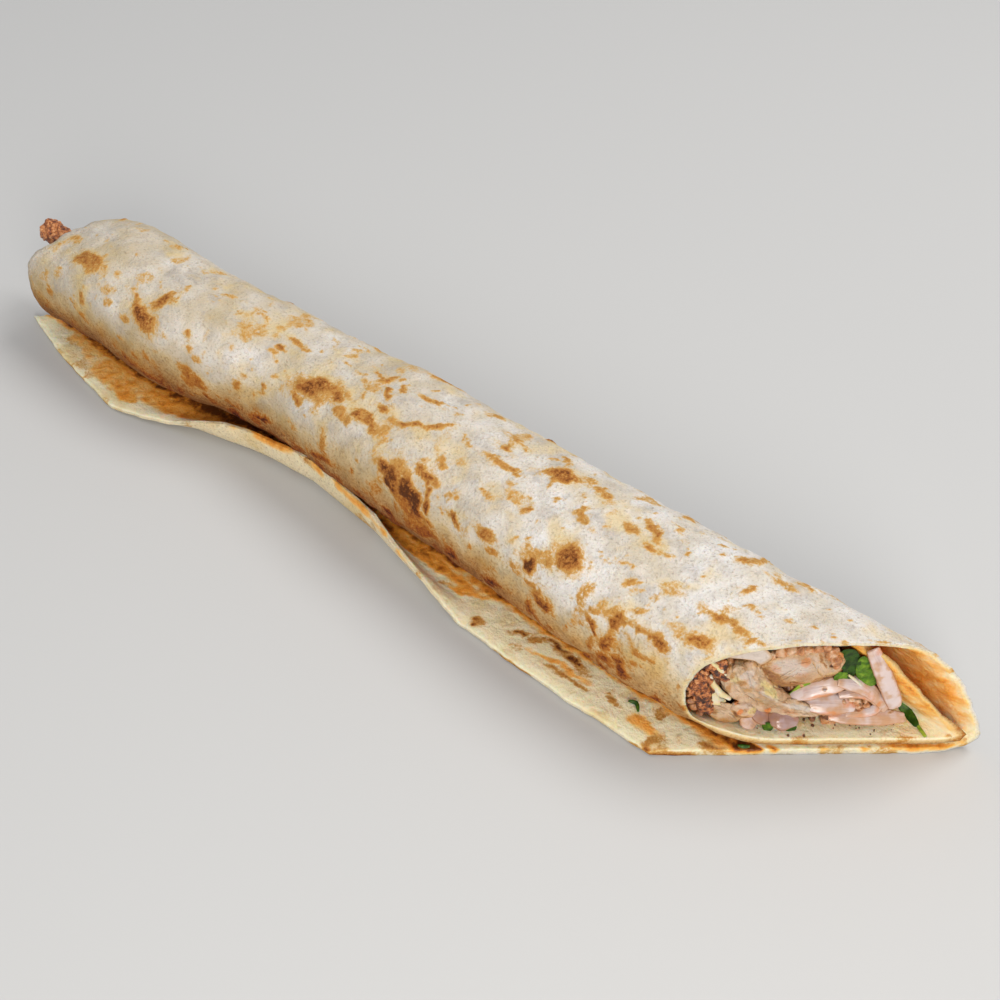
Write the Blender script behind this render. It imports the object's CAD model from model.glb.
"""Looks of the chicken doner wrap: browned, floury flatbread round chicken, onion, parsley and sauce.

Metres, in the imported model's frame. The bread is drawn from the same section and the same bends as
its solid, on a fine grid, and its browning and sauce are painted on that grid in sheet coordinates:
"along" is the way along the roll, "around" the way round the rolled sheet from the root of the flap.
"""
import math

import bmesh
import bpy
import numpy as np
from mathutils import Matrix, Vector, noise
from mathutils.bvhtree import BVHTree


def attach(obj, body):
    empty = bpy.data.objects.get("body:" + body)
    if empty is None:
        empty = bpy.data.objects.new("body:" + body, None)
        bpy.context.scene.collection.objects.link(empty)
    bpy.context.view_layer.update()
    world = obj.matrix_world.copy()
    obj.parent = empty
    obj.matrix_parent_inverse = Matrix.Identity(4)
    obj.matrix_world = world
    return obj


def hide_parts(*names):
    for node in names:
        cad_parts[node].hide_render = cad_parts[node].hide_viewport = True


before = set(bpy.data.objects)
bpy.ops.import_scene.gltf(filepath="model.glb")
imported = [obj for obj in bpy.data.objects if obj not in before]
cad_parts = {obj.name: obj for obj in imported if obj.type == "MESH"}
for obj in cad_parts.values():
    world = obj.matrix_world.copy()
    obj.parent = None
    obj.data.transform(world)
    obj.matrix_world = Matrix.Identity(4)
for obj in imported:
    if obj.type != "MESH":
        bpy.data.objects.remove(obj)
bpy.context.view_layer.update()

MM = 0.001
RANDOM = np.random.default_rng(7)

# Camera and light.
CAMERA_PLACE = (0.2181, -0.2615, 0.3318)
CAMERA_AZIMUTH = 35.7
CAMERA_ELEVATION = 43.9
CAMERA_ROLL = 6.7
CAMERA_LENS = 48.42
CAMERA_SHIFT_UP = 0.010
FLOOR_SIZE = 6.0
FLOOR_COLOR = (0.53, 0.53, 0.53)
# Each light: place, size, power, colour. All of them aim at the wrap.
LIGHTS = {
    "key": ((0.30, 0.70, 1.25), 0.80, 11.6, (1.0, 0.985, 0.96)),
    "fill": ((-0.90, -0.60, 0.90), 1.20, 2.5, (0.96, 0.98, 1.0)),
    "mouth": ((0.62, -0.58, 0.42), 0.38, 5.4, (1.0, 0.965, 0.91)),
}
WORLD_COLOR = (1.0, 1.0, 1.0)
WORLD_STRENGTH = 0.46

# The design's axes sit at this place in the frame, whose origin is the middle of the underside.
DESIGN_SHIFT = np.array((0.00222, 0.00079, 0.00001))

# Sheet of bread: its middle surface in one cross-section, as (across, up), as in its solid.
HALF_THICKNESS = 0.0013
FLAP_ROOT = 0.0125
SECTION = np.array((
    (-FLAP_ROOT, HALF_THICKNESS), (-0.0040, HALF_THICKNESS), (0.0090, HALF_THICKNESS), (0.0210, HALF_THICKNESS),
    (0.0305, 0.0019), (0.0336, 0.0048), (0.0326, 0.0102), (0.0303, 0.0170), (0.0272, 0.0255),
    (0.0205, 0.0376), (0.0138, 0.0452), (0.0065, 0.0479), (-0.0020, 0.0483), (-0.0095, 0.0475),
    (-0.0170, 0.0453), (-0.0228, 0.0430), (-0.0270, 0.0396), (-0.0290, 0.0348), (-0.0294, 0.0280),
    (-0.0286, 0.0205), (-0.0256, 0.0139), (-0.0198, 0.0089), (-0.0130, 0.0060), (-0.0030, 0.0054),
    (0.0100, 0.0054), (0.0210, 0.0054), (0.0266, 0.0057), (0.0284, 0.0074), (0.0274, 0.0100),
    (0.0238, 0.0154), (0.0166, 0.0264), (0.0092, 0.0378), (0.0052, 0.0436),
))
FRONT_END = 20
FLAP_COLUMNS_IN_SOLID = 6
FLAP_BEND_RADIUS = 0.0060
# Each row: x, distance from the roll's centre line to the bend, length beyond the bend, its turn in degrees.
FLAP_STATIONS = np.array((
    (-0.187, 0.0160, 0.0080, 0.0),
    (-0.154, 0.0240, 0.0080, 0.0),
    (-0.122, 0.0280, 0.0093, 0.0),
    (-0.098, 0.0225, 0.0085, 15.0),
    (-0.078, 0.0220, 0.0130, 84.0),
    (-0.040, 0.0176, 0.0155, 86.0),
    (-0.007, 0.0202, 0.0140, 84.0),
    (0.017, 0.0255, 0.0090, 55.0),
    (0.041, 0.0285, 0.0075, 0.0),
    (0.111, 0.0280, 0.0080, 0.0),
))

FLAP_RAGS = ((0.0130, 0.0009), (0.0040, 0.0005))

# The sheet's own edge at the far end, as in its solid, with a finer raggedness added.
FAR_EDGE = -0.1735
FAR_FLAP_REACH = 0.0130
FAR_FLAP_WIDTH = 8.0
FAR_FRONT_REACH = 0.0050
FAR_FRONT_AT = 23.5
FAR_FRONT_WIDTH = 5.0
FAR_INNER_SETBACK = 0.0070
FAR_INNER_SPAN = (26.0, 38.0)
FAR_RAGGED = 0.0022
FAR_RAG_STEP = 0.36
FAR_RAG_SEED = 0.5
FAR_FINE_STEP = 1.9
FAR_FINE_RAGGED = 0.0007

# Plan, girth and lumps of the roll, as in its solid.
CENTRE_FAR = -0.0078
BEND_SHIFT = 0.0104
BEND_SPAN = (-0.1170, -0.0570)
DRIFT_SHIFT = 0.0053
DRIFT_SPAN = (0.0680, 0.1780)
GIRTH_FAR = 0.925
GIRTH_SPAN = (0.0080, 0.0830)
WAIST_DEPTH = 0.085
WAIST_AT = -0.0610
WAIST_WIDTH = 0.0300
SLUMP_DEPTH = 0.14
SLUMP_SPAN = (-0.1450, -0.1790)
LUMP_HEIGHT = 0.0008
LUMP_SCALE = 26.0
LUMP_FREE_FROM = (0.0030, 0.0120)

# The upright knife plane that cuts the mouth.
KNIFE_CORNER = np.array((0.1110, -0.0320, 0.0))
KNIFE_ANGLE = math.radians(44.2)
KNIFE_STEPS = 8
KNIFE_SLIDE = 0.0150
# Along the roll, the base sticks out past the knife plane, and the cut is a little ragged (millimetres).
BASE_OVERHANG = 0.0042
OVERHANG_SPAN = (30.0, 50.0)
FLOOR_OVERHANG = 0.0030
FLOOR_SPAN = (160.0, 178.0, 222.0, 234.0)
KNIFE_RAGS = ((9.0, 0.0006), (2.5, 0.0004))
RIM_THINNING = 0.52
RIM_SPAN = 0.0060

# Brown marks of the griddle on the outside: along and around, half length and half width, all in
# millimetres, the turn of the long side from "along" in degrees, and how dark it is, from 0 to 1.
FAR_MARKS = (
    (-152, 127, 8.5, 4.4, 0, 0.62), (-166, 140, 4, 1.6, 73, 0.30), (-169, 95, 4, 1.0, 74, 0.60),
    (-175, 146, 2, 1.2, 44, 0.30), (-154, 140, 2, 1.0, 16, 0.25), (-144, 149, 4, 1.2, 29, 0.35),
    (-115, 134, 7, 3.2, 27, 0.80), (-123, 129, 5, 1.2, 23, 0.50), (-114, 123, 5.5, 1.8, -85, 0.68),
    (-104, 136, 3, 1.0, 21, 0.35), (-97, 132, 2, 1.0, 48, 0.60), (-93, 137, 2, 1.2, 31, 0.55),
    (-98, 108, 3, 1.2, 12, 0.40), (-81, 110, 5, 1.2, 44, 0.40), (-91, 148, 7, 3.0, 29, 0.50),
    (-87, 155, 1, 0.7, 0, 0.95), (-120, 155, 6, 1.3, 24, 0.70), (-111, 158, 6, 1.3, -5, 0.55),
    (-76, 161, 4, 1.6, 31, 0.90), (-63, 153, 4, 1.5, -17, 0.85), (-63, 137, 2, 1.0, 47, 0.65),
    (-61, 132, 3, 0.8, 0, 0.40), (-68, 120, 3, 1.3, 0, 0.60), (-66, 115, 4, 1.4, 0, 0.60),
    (-60, 115, 2, 0.9, -18, 0.50), (-66, 127, 2, 0.9, 5, 0.45),
)
MIDDLE_MARKS = (
    (-45, 128, 8, 4.4, -26, 0.75), (-48, 135, 5, 1.4, 34, 0.60), (-39, 126, 5, 2.2, 4, 0.55),
    (-34, 127, 4, 2.0, 9, 0.65), (-42, 128, 16, 6.0, -11, 0.40), (-27, 132, 6, 2.0, 8, 0.45),
    (-20, 129, 7, 2.6, 6, 0.60), (-17, 122, 3, 1.0, 0, 0.65), (-29, 110, 5, 1.0, 26, 0.60),
    (-25, 109, 4, 1.2, 84, 0.60), (-21, 115, 6, 1.2, 43, 0.65), (-13, 93, 8, 2.0, -22, 0.55),
    (-7, 107, 7, 1.6, -13, 0.50), (-6, 122, 7, 1.2, -23, 0.60), (3, 117, 6, 1.2, -45, 0.60),
    (-36, 113, 3, 1.0, -18, 0.35), (-1, 139, 6, 2.4, 5, 0.85), (2, 142, 4, 1.8, 29, 1.00),
    (10, 142, 8, 3.0, 39, 1.00), (8, 143, 13, 5.5, 42, 0.60), (11, 133, 5, 1.6, 8, 0.70),
    (17, 141, 11, 0.6, 67, 0.80), (15, 154, 8, 3.2, -4, 0.55), (14, 127, 4, 1.2, 26, 0.45),
    (8, 130, 2, 0.9, -10, 0.40), (16, 116, 3, 1.0, 26, 0.40), (29, 140, 5, 1.5, 16, 0.60),
    (-32, 153, 6, 1.3, -14, 0.80), (-31, 144, 5, 1.6, 71, 0.55), (25, 110, 3, 1.2, 6, 0.60),
    (30, 116, 8, 1.9, 0, 0.55), (27, 104, 7, 1.0, 10, 0.45), (48, 108, 7, 2.4, -24, 0.75),
    (62, 105, 6, 1.5, 4, 0.50), (41, 103, 2, 0.9, 0, 0.40), (43, 123, 7, 2.4, 0, 0.30),
    (33, 128, 4, 1.2, 27, 0.45), (63, 118, 4, 1.4, 22, 0.45), (41, 139, 5, 2.0, 5, 0.60),
    (46, 143, 3, 1.2, 0, 0.50), (69.5, 131, 5.9, 3.9, 12, 0.80), (61, 136, 7, 2.4, 3, 0.42),
    (59, 139, 3, 1.6, 19, 0.90), (55, 143, 4, 1.8, 18, 0.40), (47, 155, 5, 1.0, -11, 0.80),
)
MOUTH_MARKS = (
    (67, 148, 4, 1.8, 18, 0.90), (66, 158, 6, 1.2, 48, 0.50), (85, 144, 4, 1.0, 50, 0.80),
    (86, 140, 3, 1.0, -19, 0.50), (92, 147, 4, 1.6, 88, 0.75), (93, 140, 4, 1.4, -73, 0.65),
    (95, 137, 3, 1.2, -29, 0.55), (100, 137, 4, 1.2, 9, 0.60), (106, 138, 4, 1.6, 25, 0.75),
    (97, 152, 3, 1.4, -5, 0.75), (103, 144, 4, 1.6, 0, 0.50), (86, 160, 3, 1.0, -37, 0.85),
    (117, 132, 4, 1.8, -15, 0.75), (118, 123, 4, 1.6, 0, 0.65), (114, 123, 3, 1.2, 0, 0.40),
    (124, 124, 5, 1.5, 13, 0.50), (129, 126, 4, 1.2, -16, 0.50), (123, 116, 4, 1.2, 7, 0.40),
    (124, 101, 6, 2.0, -5, 0.40), (118, 110, 3, 1.0, -43, 0.50), (102, 99, 2, 0.9, 0, 0.40),
    (94, 128, 3, 1.0, -15, 0.30), (107, 133, 4, 1.0, 12, 0.30), (78, 112, 5, 1.8, 17, 0.45),
    (83, 108, 6, 1.6, 26, 0.50), (86, 109, 3, 0.6, 48, 0.65), (87, 115, 3, 1.2, -7, 0.55),
    (91, 114, 4, 1.0, -22, 0.40), (84, 124, 4, 1.2, -11, 0.40), (96, 133, 3, 0.8, -12, 0.40),
)
# The same on the upper side of the loose flap.
FLAP_MARKS = (
    (-160, -10, 7, 2.5, 10, 0.45), (-132, -14, 6, 3.0, 40, 0.55), (-112, -13, 9, 2.0, -10, 0.55),
    (30, -13, 8, 1.1, 22, 0.50), (46, -19, 3, 1.2, 10, 0.50), (44.7, -19.9, 0.8, 0.5, 0, 1.00),
    (58.3, -13.5, 2.2, 1.1, 30, 1.00), (63, -12, 5, 1.8, 20, 0.48), (81, -17.4, 9.5, 1.3, 6, 0.52),
    (78, -10.6, 4, 1.2, -7, 1.00), (70, -9, 5, 1.0, 8, 0.90), (96, -14.6, 5, 0.9, -15, 0.50),
    (111.5, -19.2, 4.5, 1.7, 45, 0.48), (110.5, -22.3, 1.5, 0.8, 0, 0.90), (110, -9, 3.5, 2.0, 60, 0.52),
    (126, -8.7, 4, 1.6, 40, 0.60), (138, -6, 3, 0.9, 15, 0.80), (120, -20, 4, 1.2, 0, 0.45),
)
# Sauce that has soaked into the flap's upper side, and how wet it is.
SAUCE_MARKS = (
    (-156, -9, 12, 4.0, -8, 0.40), (-132, -12, 18, 7.0, 0, 0.50), (-124, -17, 8, 3.5, 0, 0.58),
    (-106, -10, 18, 6.0, 0, 0.58), (-86, -9, 12, 4.0, 0, 0.70), (-60, -21, 14, 2.4, 0, 0.60),
    (-38, -17, 16, 3.0, 0, 0.85), (-20, -15, 12, 2.4, 0, 0.75), (-40, -9, 50, 4.0, 0, 0.90),
    (10, -10, 30, 3.0, 0, 0.70), (34, -12, 9, 1.4, 18, 0.60), (75, -15, 14, 1.4, 6, 0.50),
    (108, -17, 5, 2.0, 0, 0.45), (-145, -4, 20, 3.0, 0, 0.80),
)
# The same on the base that sticks out under the mouth, on its upper side.
BASE_MARKS = (
    (131.5, -5, 5, 1.3, 51, 0.60), (132.3, -3.6, 2, 0.8, 51, 0.95), (140.5, 1, 4, 1.3, -5, 0.75),
    (146, 6, 1.8, 0.8, 40, 0.90), (155, 14, 7, 1.2, 42, 0.40), (162.3, 21.2, 3.6, 1.5, 17, 1.00),
    (174, 34, 14, 2.2, 40, 0.60), (124, -14, 4, 1.2, 20, 0.35), (151, 11, 2, 0.8, 60, 0.55),
    (184, 44, 4, 1.4, 30, 0.30),
)
MARK_BLUR = (0.55, 1.35)
HALO_BLUR = (0.70, 2.30)
HALO_SHARE = 0.40
HALO_LEAST = 2.6
TOAST_SHARE = 0.95
WANDER = ((0.0060, 1.9), (0.0022, 1.1))
CLOUD_SIZES = ((0.0110, 1.0), (0.0040, 0.7))
CLOUD_SPAN = (0.12, 0.70)
CLOUD_DEPTH = 0.30
SPECK_COUNT = 620
# Browned spots on the cut rim: their size in metres, the noise they take, how far they reach from the
# knife in millimetres and how dark they are.
RIM_SPOT = 0.0035
RIM_SPOT_SPAN = (0.0, 0.5)
RIM_TOAST_SPAN = (0.8, 3.2)
RIM_TOAST = 0.42
# The floury crown is whitest near the mouth; the lower front grows golden, and brown in the crease.
FLOUR_SPAN = (-0.140, 0.120)
CREASE_SPAN = (136.0, 163.0)
CREASE_WANDER = ((0.0130, 3.0), (0.0045, 2.2))
LIP_WARMTH = 0.08
# The flap's upper side is golden beside the crease, up to this many millimetres from its root.
FLAP_WARMTH = 0.42
FLAP_WARM_SPAN = (3.5, 9.5)
# Toward the mouth the lower front is paler: where this starts and ends, and the share that is left.
PALER_SPAN = (0.030, 0.085)
PALER_SHARE = 0.75
# Sauce along the upper edge of the turned-up lip: where along the roll, how far down the lip it runs
# (millimetres), the size of its patches in metres and how wet it is.
LIP_SAUCE_SPAN = (-95.0, 22.0)
LIP_SAUCE_REACH = (0.6, 3.6)
LIP_SAUCE_PATCH = 0.007
LIP_SAUCE = 0.62
# Sauce along the crease, darkest at the roll: where it starts to fade and where it ends, at the least and
# at the most (millimetres from the flap's root), and how wet it is.
CREASE_FADE = 4.0
CREASE_REACH = (7.5, 5.5)
CREASE_PATCH = 0.018
CREASE_SAUCE = 1.0
CREASE_MARK_COUNT = 34
BACK_MARK_COUNT = 70
UNDER_MARK_COUNT = 90

# Relief of the outside.
RELIEF_BUMPS = ((0.0220, 0.00080), (0.0090, 0.00080), (0.0042, 0.00040), (0.0022, 0.00016))
BLISTER_HEIGHT = 0.0009
# Heights between which the relief sets in, so that nothing sinks into what the bread lies on.
RELIEF_FREE_FROM = (0.0040, 0.0125)
EDGE_THINNING = 0.50
EDGE_SPAN = 0.0032

# Fine grid of the bread.
GRID_ROWS = 259
GRID_ROWS_NEARER = 0.3
GRID_STEP = 0.0011
GRID_STEP_UNDER = 0.0017
GRID_UNDER_END = 0.0880
GRID_STEP_INSIDE = 0.0028
GRID_ON_FLAP = 22
RIM_STEPS = 3

# The mouth is drawn as it is seen on the knife plane: places are millimetres along the cut, millimetres
# up, and millimetres of depth behind the plane down the line of sight.
CUT_WAY = np.array((math.cos(KNIFE_ANGLE), math.sin(KNIFE_ANGLE), 0.0))
CUT_NORMAL = np.array((math.sin(KNIFE_ANGLE), -math.cos(KNIFE_ANGLE), 0.0))
MOUTH_MIDDLE = KNIFE_CORNER + DESIGN_SHIFT + 0.045 * CUT_WAY + (0.0, 0.0, 0.025)
SIGHT = (MOUTH_MIDDLE - CAMERA_PLACE) / np.linalg.norm(MOUTH_MIDDLE - CAMERA_PLACE)
PIECE_STEP = 0.30
# Surfaces: heights and sizes in millimetres of the ridges along a piece and of the lumps on it, and how
# round a strand's section is, from 1 for an ellipse down to 0 for a box, and how long its rounded ends are.
FLESH = {"ridge": 0.40, "ridge_long": 5.0, "ridge_wide": 1.0, "lump": 0.90, "lump_size": 2.4, "power": 0.8, "end": 1.0}
SLICED = {"ridge": 0.10, "ridge_long": 6.0, "ridge_wide": 1.2, "lump": 0.38, "lump_size": 3.2, "power": 0.8, "end": 1.0}
RUGGED = {"ridge": 0.50, "ridge_long": 1.8, "ridge_wide": 0.9, "lump": 1.00, "lump_size": 2.0, "power": 0.8, "end": 1.0}
SLICK = {"ridge": 0.14, "ridge_long": 12.0, "ridge_wide": 0.9, "lump": 0.26, "lump_size": 4.0, "power": 0.5, "end": 0.35}
FATTY = {"ridge": 0.15, "ridge_long": 3.0, "ridge_wide": 0.6, "lump": 0.25, "lump_size": 2.0, "power": 0.8, "end": 1.0}
LEAFY = {"ridge": 0.05, "ridge_long": 1.5, "ridge_wide": 1.5, "lump": 0.10, "lump_size": 1.0, "power": 0.8, "end": 1.0}

# Long pieces of the mouth: rows of (along, up, depth, half width, half thickness), in millimetres.
CHICKEN_STRIP = (
    (24.0, 43.0, 5.5, 4.0, 3.0), (25.2, 37.5, 5.0, 4.9, 3.6), (27.3, 32.5, 4.6, 5.2, 3.8),
    (31.0, 28.5, 4.0, 4.5, 3.4), (36.0, 24.5, 3.2, 3.8, 2.8), (42.0, 21.0, 2.6, 3.0, 2.3),
    (48.5, 18.5, 2.0, 2.2, 1.6), (54.5, 16.5, 1.4, 0.9, 0.7),
)
CRUST = (
    (12.4, 39.0, 4.0, 1.8, 2.0), (13.2, 35.5, 4.0, 2.7, 2.6), (14.2, 31.0, 4.0, 3.3, 3.0),
    (15.4, 26.0, 4.0, 2.9, 2.8), (17.2, 21.5, 4.0, 2.1, 2.2), (19.6, 18.0, 4.0, 1.2, 1.4),
)
CRUST_TOP = ((12.6, 39.6, 4.5, 1.2, 1.3), (16.0, 39.8, 4.5, 1.8, 1.7), (20.5, 40.2, 4.8, 1.4, 1.4))
DARK_MEAT = ((15.0, 40.0, 5.0, 1.8, 1.6), (18.5, 38.0, 5.0, 2.6, 2.0), (22.0, 34.0, 5.2, 2.0, 1.8))
PALE_STREAK = ((15.4, 41.0, 3.0, 0.4, 0.5), (18.4, 38.0, 3.0, 0.8, 0.7), (21.6, 34.5, 3.2, 0.5, 0.5))
FAT_STRIP = (
    (16.2, 35.2, 3.5, 0.5, 0.7), (18.1, 30.6, 3.5, 0.9, 0.9), (20.9, 26.9, 3.5, 1.0, 0.9),
    (24.6, 23.8, 3.5, 0.6, 0.7),
)
FAT_BAND = (
    (15.4, 31.0, 5.0, 1.0, 1.0), (17.4, 27.2, 5.0, 1.9, 1.2), (20.4, 23.6, 5.0, 1.6, 1.1),
    (23.4, 22.4, 5.0, 0.8, 0.7),
)
CREAM_LUMP = ((25.4, 21.0, 3.2, 1.4, 1.4), (29.4, 19.6, 3.0, 3.0, 2.2), (33.6, 18.6, 3.2, 1.8, 1.6))
ORANGE_STRIP = ((62.7, 32.5, 5.6, 1.2, 1.0), (67.2, 26.5, 5.6, 1.8, 1.2), (72.2, 20.5, 5.6, 1.2, 1.0))
ONION_STRIP = (
    (42.8, 24.4, 3.0, 1.1, 0.5), (45.8, 27.0, 3.0, 2.6, 0.68), (50.2, 29.2, 3.0, 3.0, 0.74),
    (55.4, 31.0, 3.2, 2.7, 0.68), (58.5, 31.6, 3.6, 1.5, 0.5),
)
ONION_ARCH = (
    (55.0, 32.4, 3.6, 1.6, 0.5), (60.5, 31.2, 3.2, 2.5, 0.62), (65.0, 28.6, 3.2, 2.4, 0.62),
    (69.6, 24.2, 3.4, 2.0, 0.62), (74.0, 18.4, 3.6, 1.3, 0.5),
)
ONION_RING = (
    (57.0, 25.6, 4.0, 1.0, 0.56), (62.4, 26.6, 4.0, 1.5, 0.62), (67.6, 24.8, 4.0, 1.6, 0.62),
    (71.0, 20.8, 4.0, 1.6, 0.62), (68.5, 17.2, 4.0, 1.5, 0.62), (61.5, 16.2, 4.0, 1.0, 0.56),
)
ONION_LEAF = (
    (46.4, 20.4, 3.4, 1.0, 0.5), (50.5, 21.4, 3.0, 2.8, 0.68), (55.5, 21.6, 3.0, 3.5, 0.74),
    (60.5, 21.2, 3.4, 3.0, 0.68), (64.0, 20.0, 4.4, 1.6, 0.5),
)
ONION_STANDING = (
    (61.8, 46.6, 0.8, 2.0, 0.5), (64.2, 42.2, 0.2, 2.3, 0.6), (67.6, 36.2, 0.3, 2.6, 0.7),
    (71.4, 29.6, 1.2, 2.8, 0.7), (74.8, 23.4, 2.2, 2.6, 0.7), (76.6, 19.4, 2.8, 2.0, 0.6),
)
ONION_BED = (
    (56.5, 15.0, 4.0, 1.1, 0.56), (63.0, 15.2, 3.4, 2.5, 0.74), (72.5, 15.2, 3.2, 2.8, 0.74),
    (81.0, 14.6, 3.4, 1.5, 0.56),
)
ONION_LOW = (
    (38.6, 13.4, 3.5, 1.8, 0.62), (41.0, 14.2, 3.2, 3.5, 0.93), (44.5, 13.9, 3.2, 3.4, 0.93),
    (48.0, 12.4, 3.5, 1.2, 0.5),
)
ONION_LOW_LEFT = ((32.0, 18.4, 4.8, 1.2, 0.56), (35.8, 15.6, 4.8, 2.6, 0.74), (39.4, 13.6, 4.8, 1.6, 0.62))
ONION_UNDER = ((30.0, 16.0, 4.2, 1.3, 0.56), (32.2, 13.2, 4.0, 2.6, 0.74), (35.0, 10.4, 4.0, 1.5, 0.56))
ROOF_LUMPS = (
    (32.5, 44.2, 5.0, 1.4), (34.8, 45.8, 4.6, 1.7), (37.6, 46.4, 4.6, 1.7), (40.2, 46.8, 4.6, 1.6),
    (43.0, 46.6, 4.4, 1.5), (45.6, 47.2, 4.4, 1.4), (48.0, 47.4, 4.2, 1.3), (50.0, 45.2, 4.0, 2.0), (52.0, 42.4, 4.0, 1.9), (52.8, 39.8, 4.2, 1.3),
)
RING_CRUMBS = (
    (59.5, 22.6, 4.4, 1.0), (61.6, 24.0, 4.4, 1.1), (63.8, 22.8, 4.2, 1.2), (66.0, 23.4, 4.4, 1.0),
    (61.2, 20.8, 4.4, 1.0), (64.4, 20.4, 4.4, 1.1), (67.2, 20.8, 4.6, 1.0), (65.4, 18.8, 4.6, 0.8),
)
# Browned crumbs at the left of the mouth: along, up, depth and half size.
LEFT_CRUMBS = (
    (10.9, 33.2, 4.0, 1.2), (11.0, 30.0, 4.2, 1.3), (11.6, 26.6, 4.4, 1.3), (12.6, 23.4, 4.4, 1.2),
    (14.2, 20.4, 4.2, 1.1), (16.4, 17.6, 4.0, 1.0), (12.9, 29.4, 3.4, 1.1), (13.6, 25.4, 3.4, 1.1),
)
# Bundles of a pulled piece: how far they spread and how wide all are together, as shares of its half
# width, how much it bulges in the middle, and how far their ends are torn back, in rows.
BUNDLE_SPREAD = 0.72
BUNDLE_WIDTH = 1.9
BUNDLE_ROUND = 1.2
BUNDLE_TORN = 1.2
# Thin shreds of chicken at the strip's torn tip and along torn edges: how many, and their ends.
FRAY_COUNT = 11
FRAY_FROM = ((45.0, 51.0), (16.0, 20.0))
FRAY_TO = ((53.0, 57.0), (14.8, 18.2))
SHRED_COUNT = 46
SHRED_LENGTH = (2.5, 6.0)
SHRED_HALF = (0.16, 0.38)
# Places and directions along which shreds lie: (along, up, turn in degrees, spread in millimetres, depth).
SHRED_PLACES = (
    (28.0, 33.0, -58, 4.0, 1.4), (34.0, 26.5, -42, 3.0, 1.0), (42.0, 21.5, -30, 2.2, 0.6),
    (38.0, 36.0, 20, 5.0, 4.2), (50.0, 39.0, -60, 3.0, 3.8), (24.0, 17.5, -20, 4.0, 2.6),
)
SCRAP_COUNT = 150
SCRAP_HALF = (0.7, 2.0)
SCRAP_DEPTH = (7.4, 9.0)
# How far along the cut the scraps reach at each height: up, first, last.
SCRAP_ROWS = ((13.5, 30.0, 60.0), (15.0, 27.0, 74.0), (20.0, 21.0, 73.0), (28.0, 17.0, 68.0), (36.0, 16.5, 63.0),
              (42.0, 20.0, 58.0))

# Flat pieces: outlines as (along, up) in millimetres.
SLICE_OUTLINE = (
    (30.0, 37.5), (31.5, 34.5), (34.0, 31.8), (37.7, 29.8), (42.7, 30.0), (47.6, 31.2), (51.0, 33.5),
    (49.5, 39.5), (46.0, 44.6), (39.0, 45.6), (33.5, 43.2), (30.5, 40.6),
)
BACK_SLICE_OUTLINE = (
    (43.4, 46.2), (44.4, 42.0), (46.6, 38.2), (49.6, 34.2), (52.8, 34.2), (55.0, 36.6), (55.4, 40.8),
    (53.8, 44.8), (50.0, 46.8), (46.2, 47.2),
)
CHUNK_OUTLINE = (
    (16.8, 22.0), (20.5, 22.8), (25.5, 21.8), (30.0, 20.8), (33.3, 18.6), (32.2, 15.0), (27.5, 12.4),
    (22.5, 13.4), (18.6, 17.4),
)
TONGUE_OUTLINE = (
    (20.0, 43.0), (23.0, 44.6), (26.4, 45.8), (29.6, 46.8), (31.6, 45.4), (33.0, 43.0), (31.8, 40.8),
    (30.2, 39.8), (28.0, 41.4), (24.6, 42.2),
)
# Parsley: outline, depth and shade from dark to bright.
LEAVES = (
    (((53.0, 40.0), (52.6, 45.6), (54.6, 47.0), (57.4, 46.0), (60.0, 41.0), (59.8, 36.5), (58.5, 32.8),
      (56.4, 31.8), (55.0, 34.0), (55.6, 37.0)), 4.6, 0.15),
    (((59.0, 43.0), (61.0, 43.4), (63.8, 38.4), (67.2, 32.0), (65.8, 29.8), (62.6, 32.2), (60.2, 34.6),
      (59.0, 39.0)), 4.2, 0.60),
    (((54.6, 36.5), (58.2, 35.6), (61.0, 32.0), (58.6, 30.4), (55.4, 31.4), (53.6, 33.6)), 4.4, 0.6),
    (((41.2, 24.0), (42.4, 27.6), (44.1, 30.8), (47.0, 31.6), (46.4, 28.3), (44.4, 24.3), (42.8, 22.6)), 4.8, 0.9),
    (((37.0, 11.4), (38.7, 12.4), (40.9, 10.8), (40.3, 7.8), (38.3, 8.4)), 2.2, 0.35),
    (((44.4, 10.8), (46.2, 12.0), (48.2, 10.0), (47.6, 7.3), (45.4, 7.8)), 2.2, 0.35),
)
# A leaf and its stem that lie on the inside wall: along, up and half width.
WALL_LEAF = ((76.2, 26.2, 0.5), (77.8, 23.1, 1.2), (80.8, 18.6, 1.6), (83.8, 14.1, 1.5), (86.6, 10.0, 0.8))
WALL_STEM = ((82.5, 17.0, 0.55), (84.5, 13.6, 0.55), (86.9, 9.9, 0.55), (90.3, 4.7, 0.55))
PALE_STEM = ((57.6, 35.2, 3.0, 0.35, 0.35), (60.6, 32.6, 2.8, 0.5, 0.45), (64.0, 29.0, 3.0, 0.35, 0.3))
LEAF_RUFFLE = 0.9
LEAF_RUFFLE_SIZE = 3.0

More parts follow.
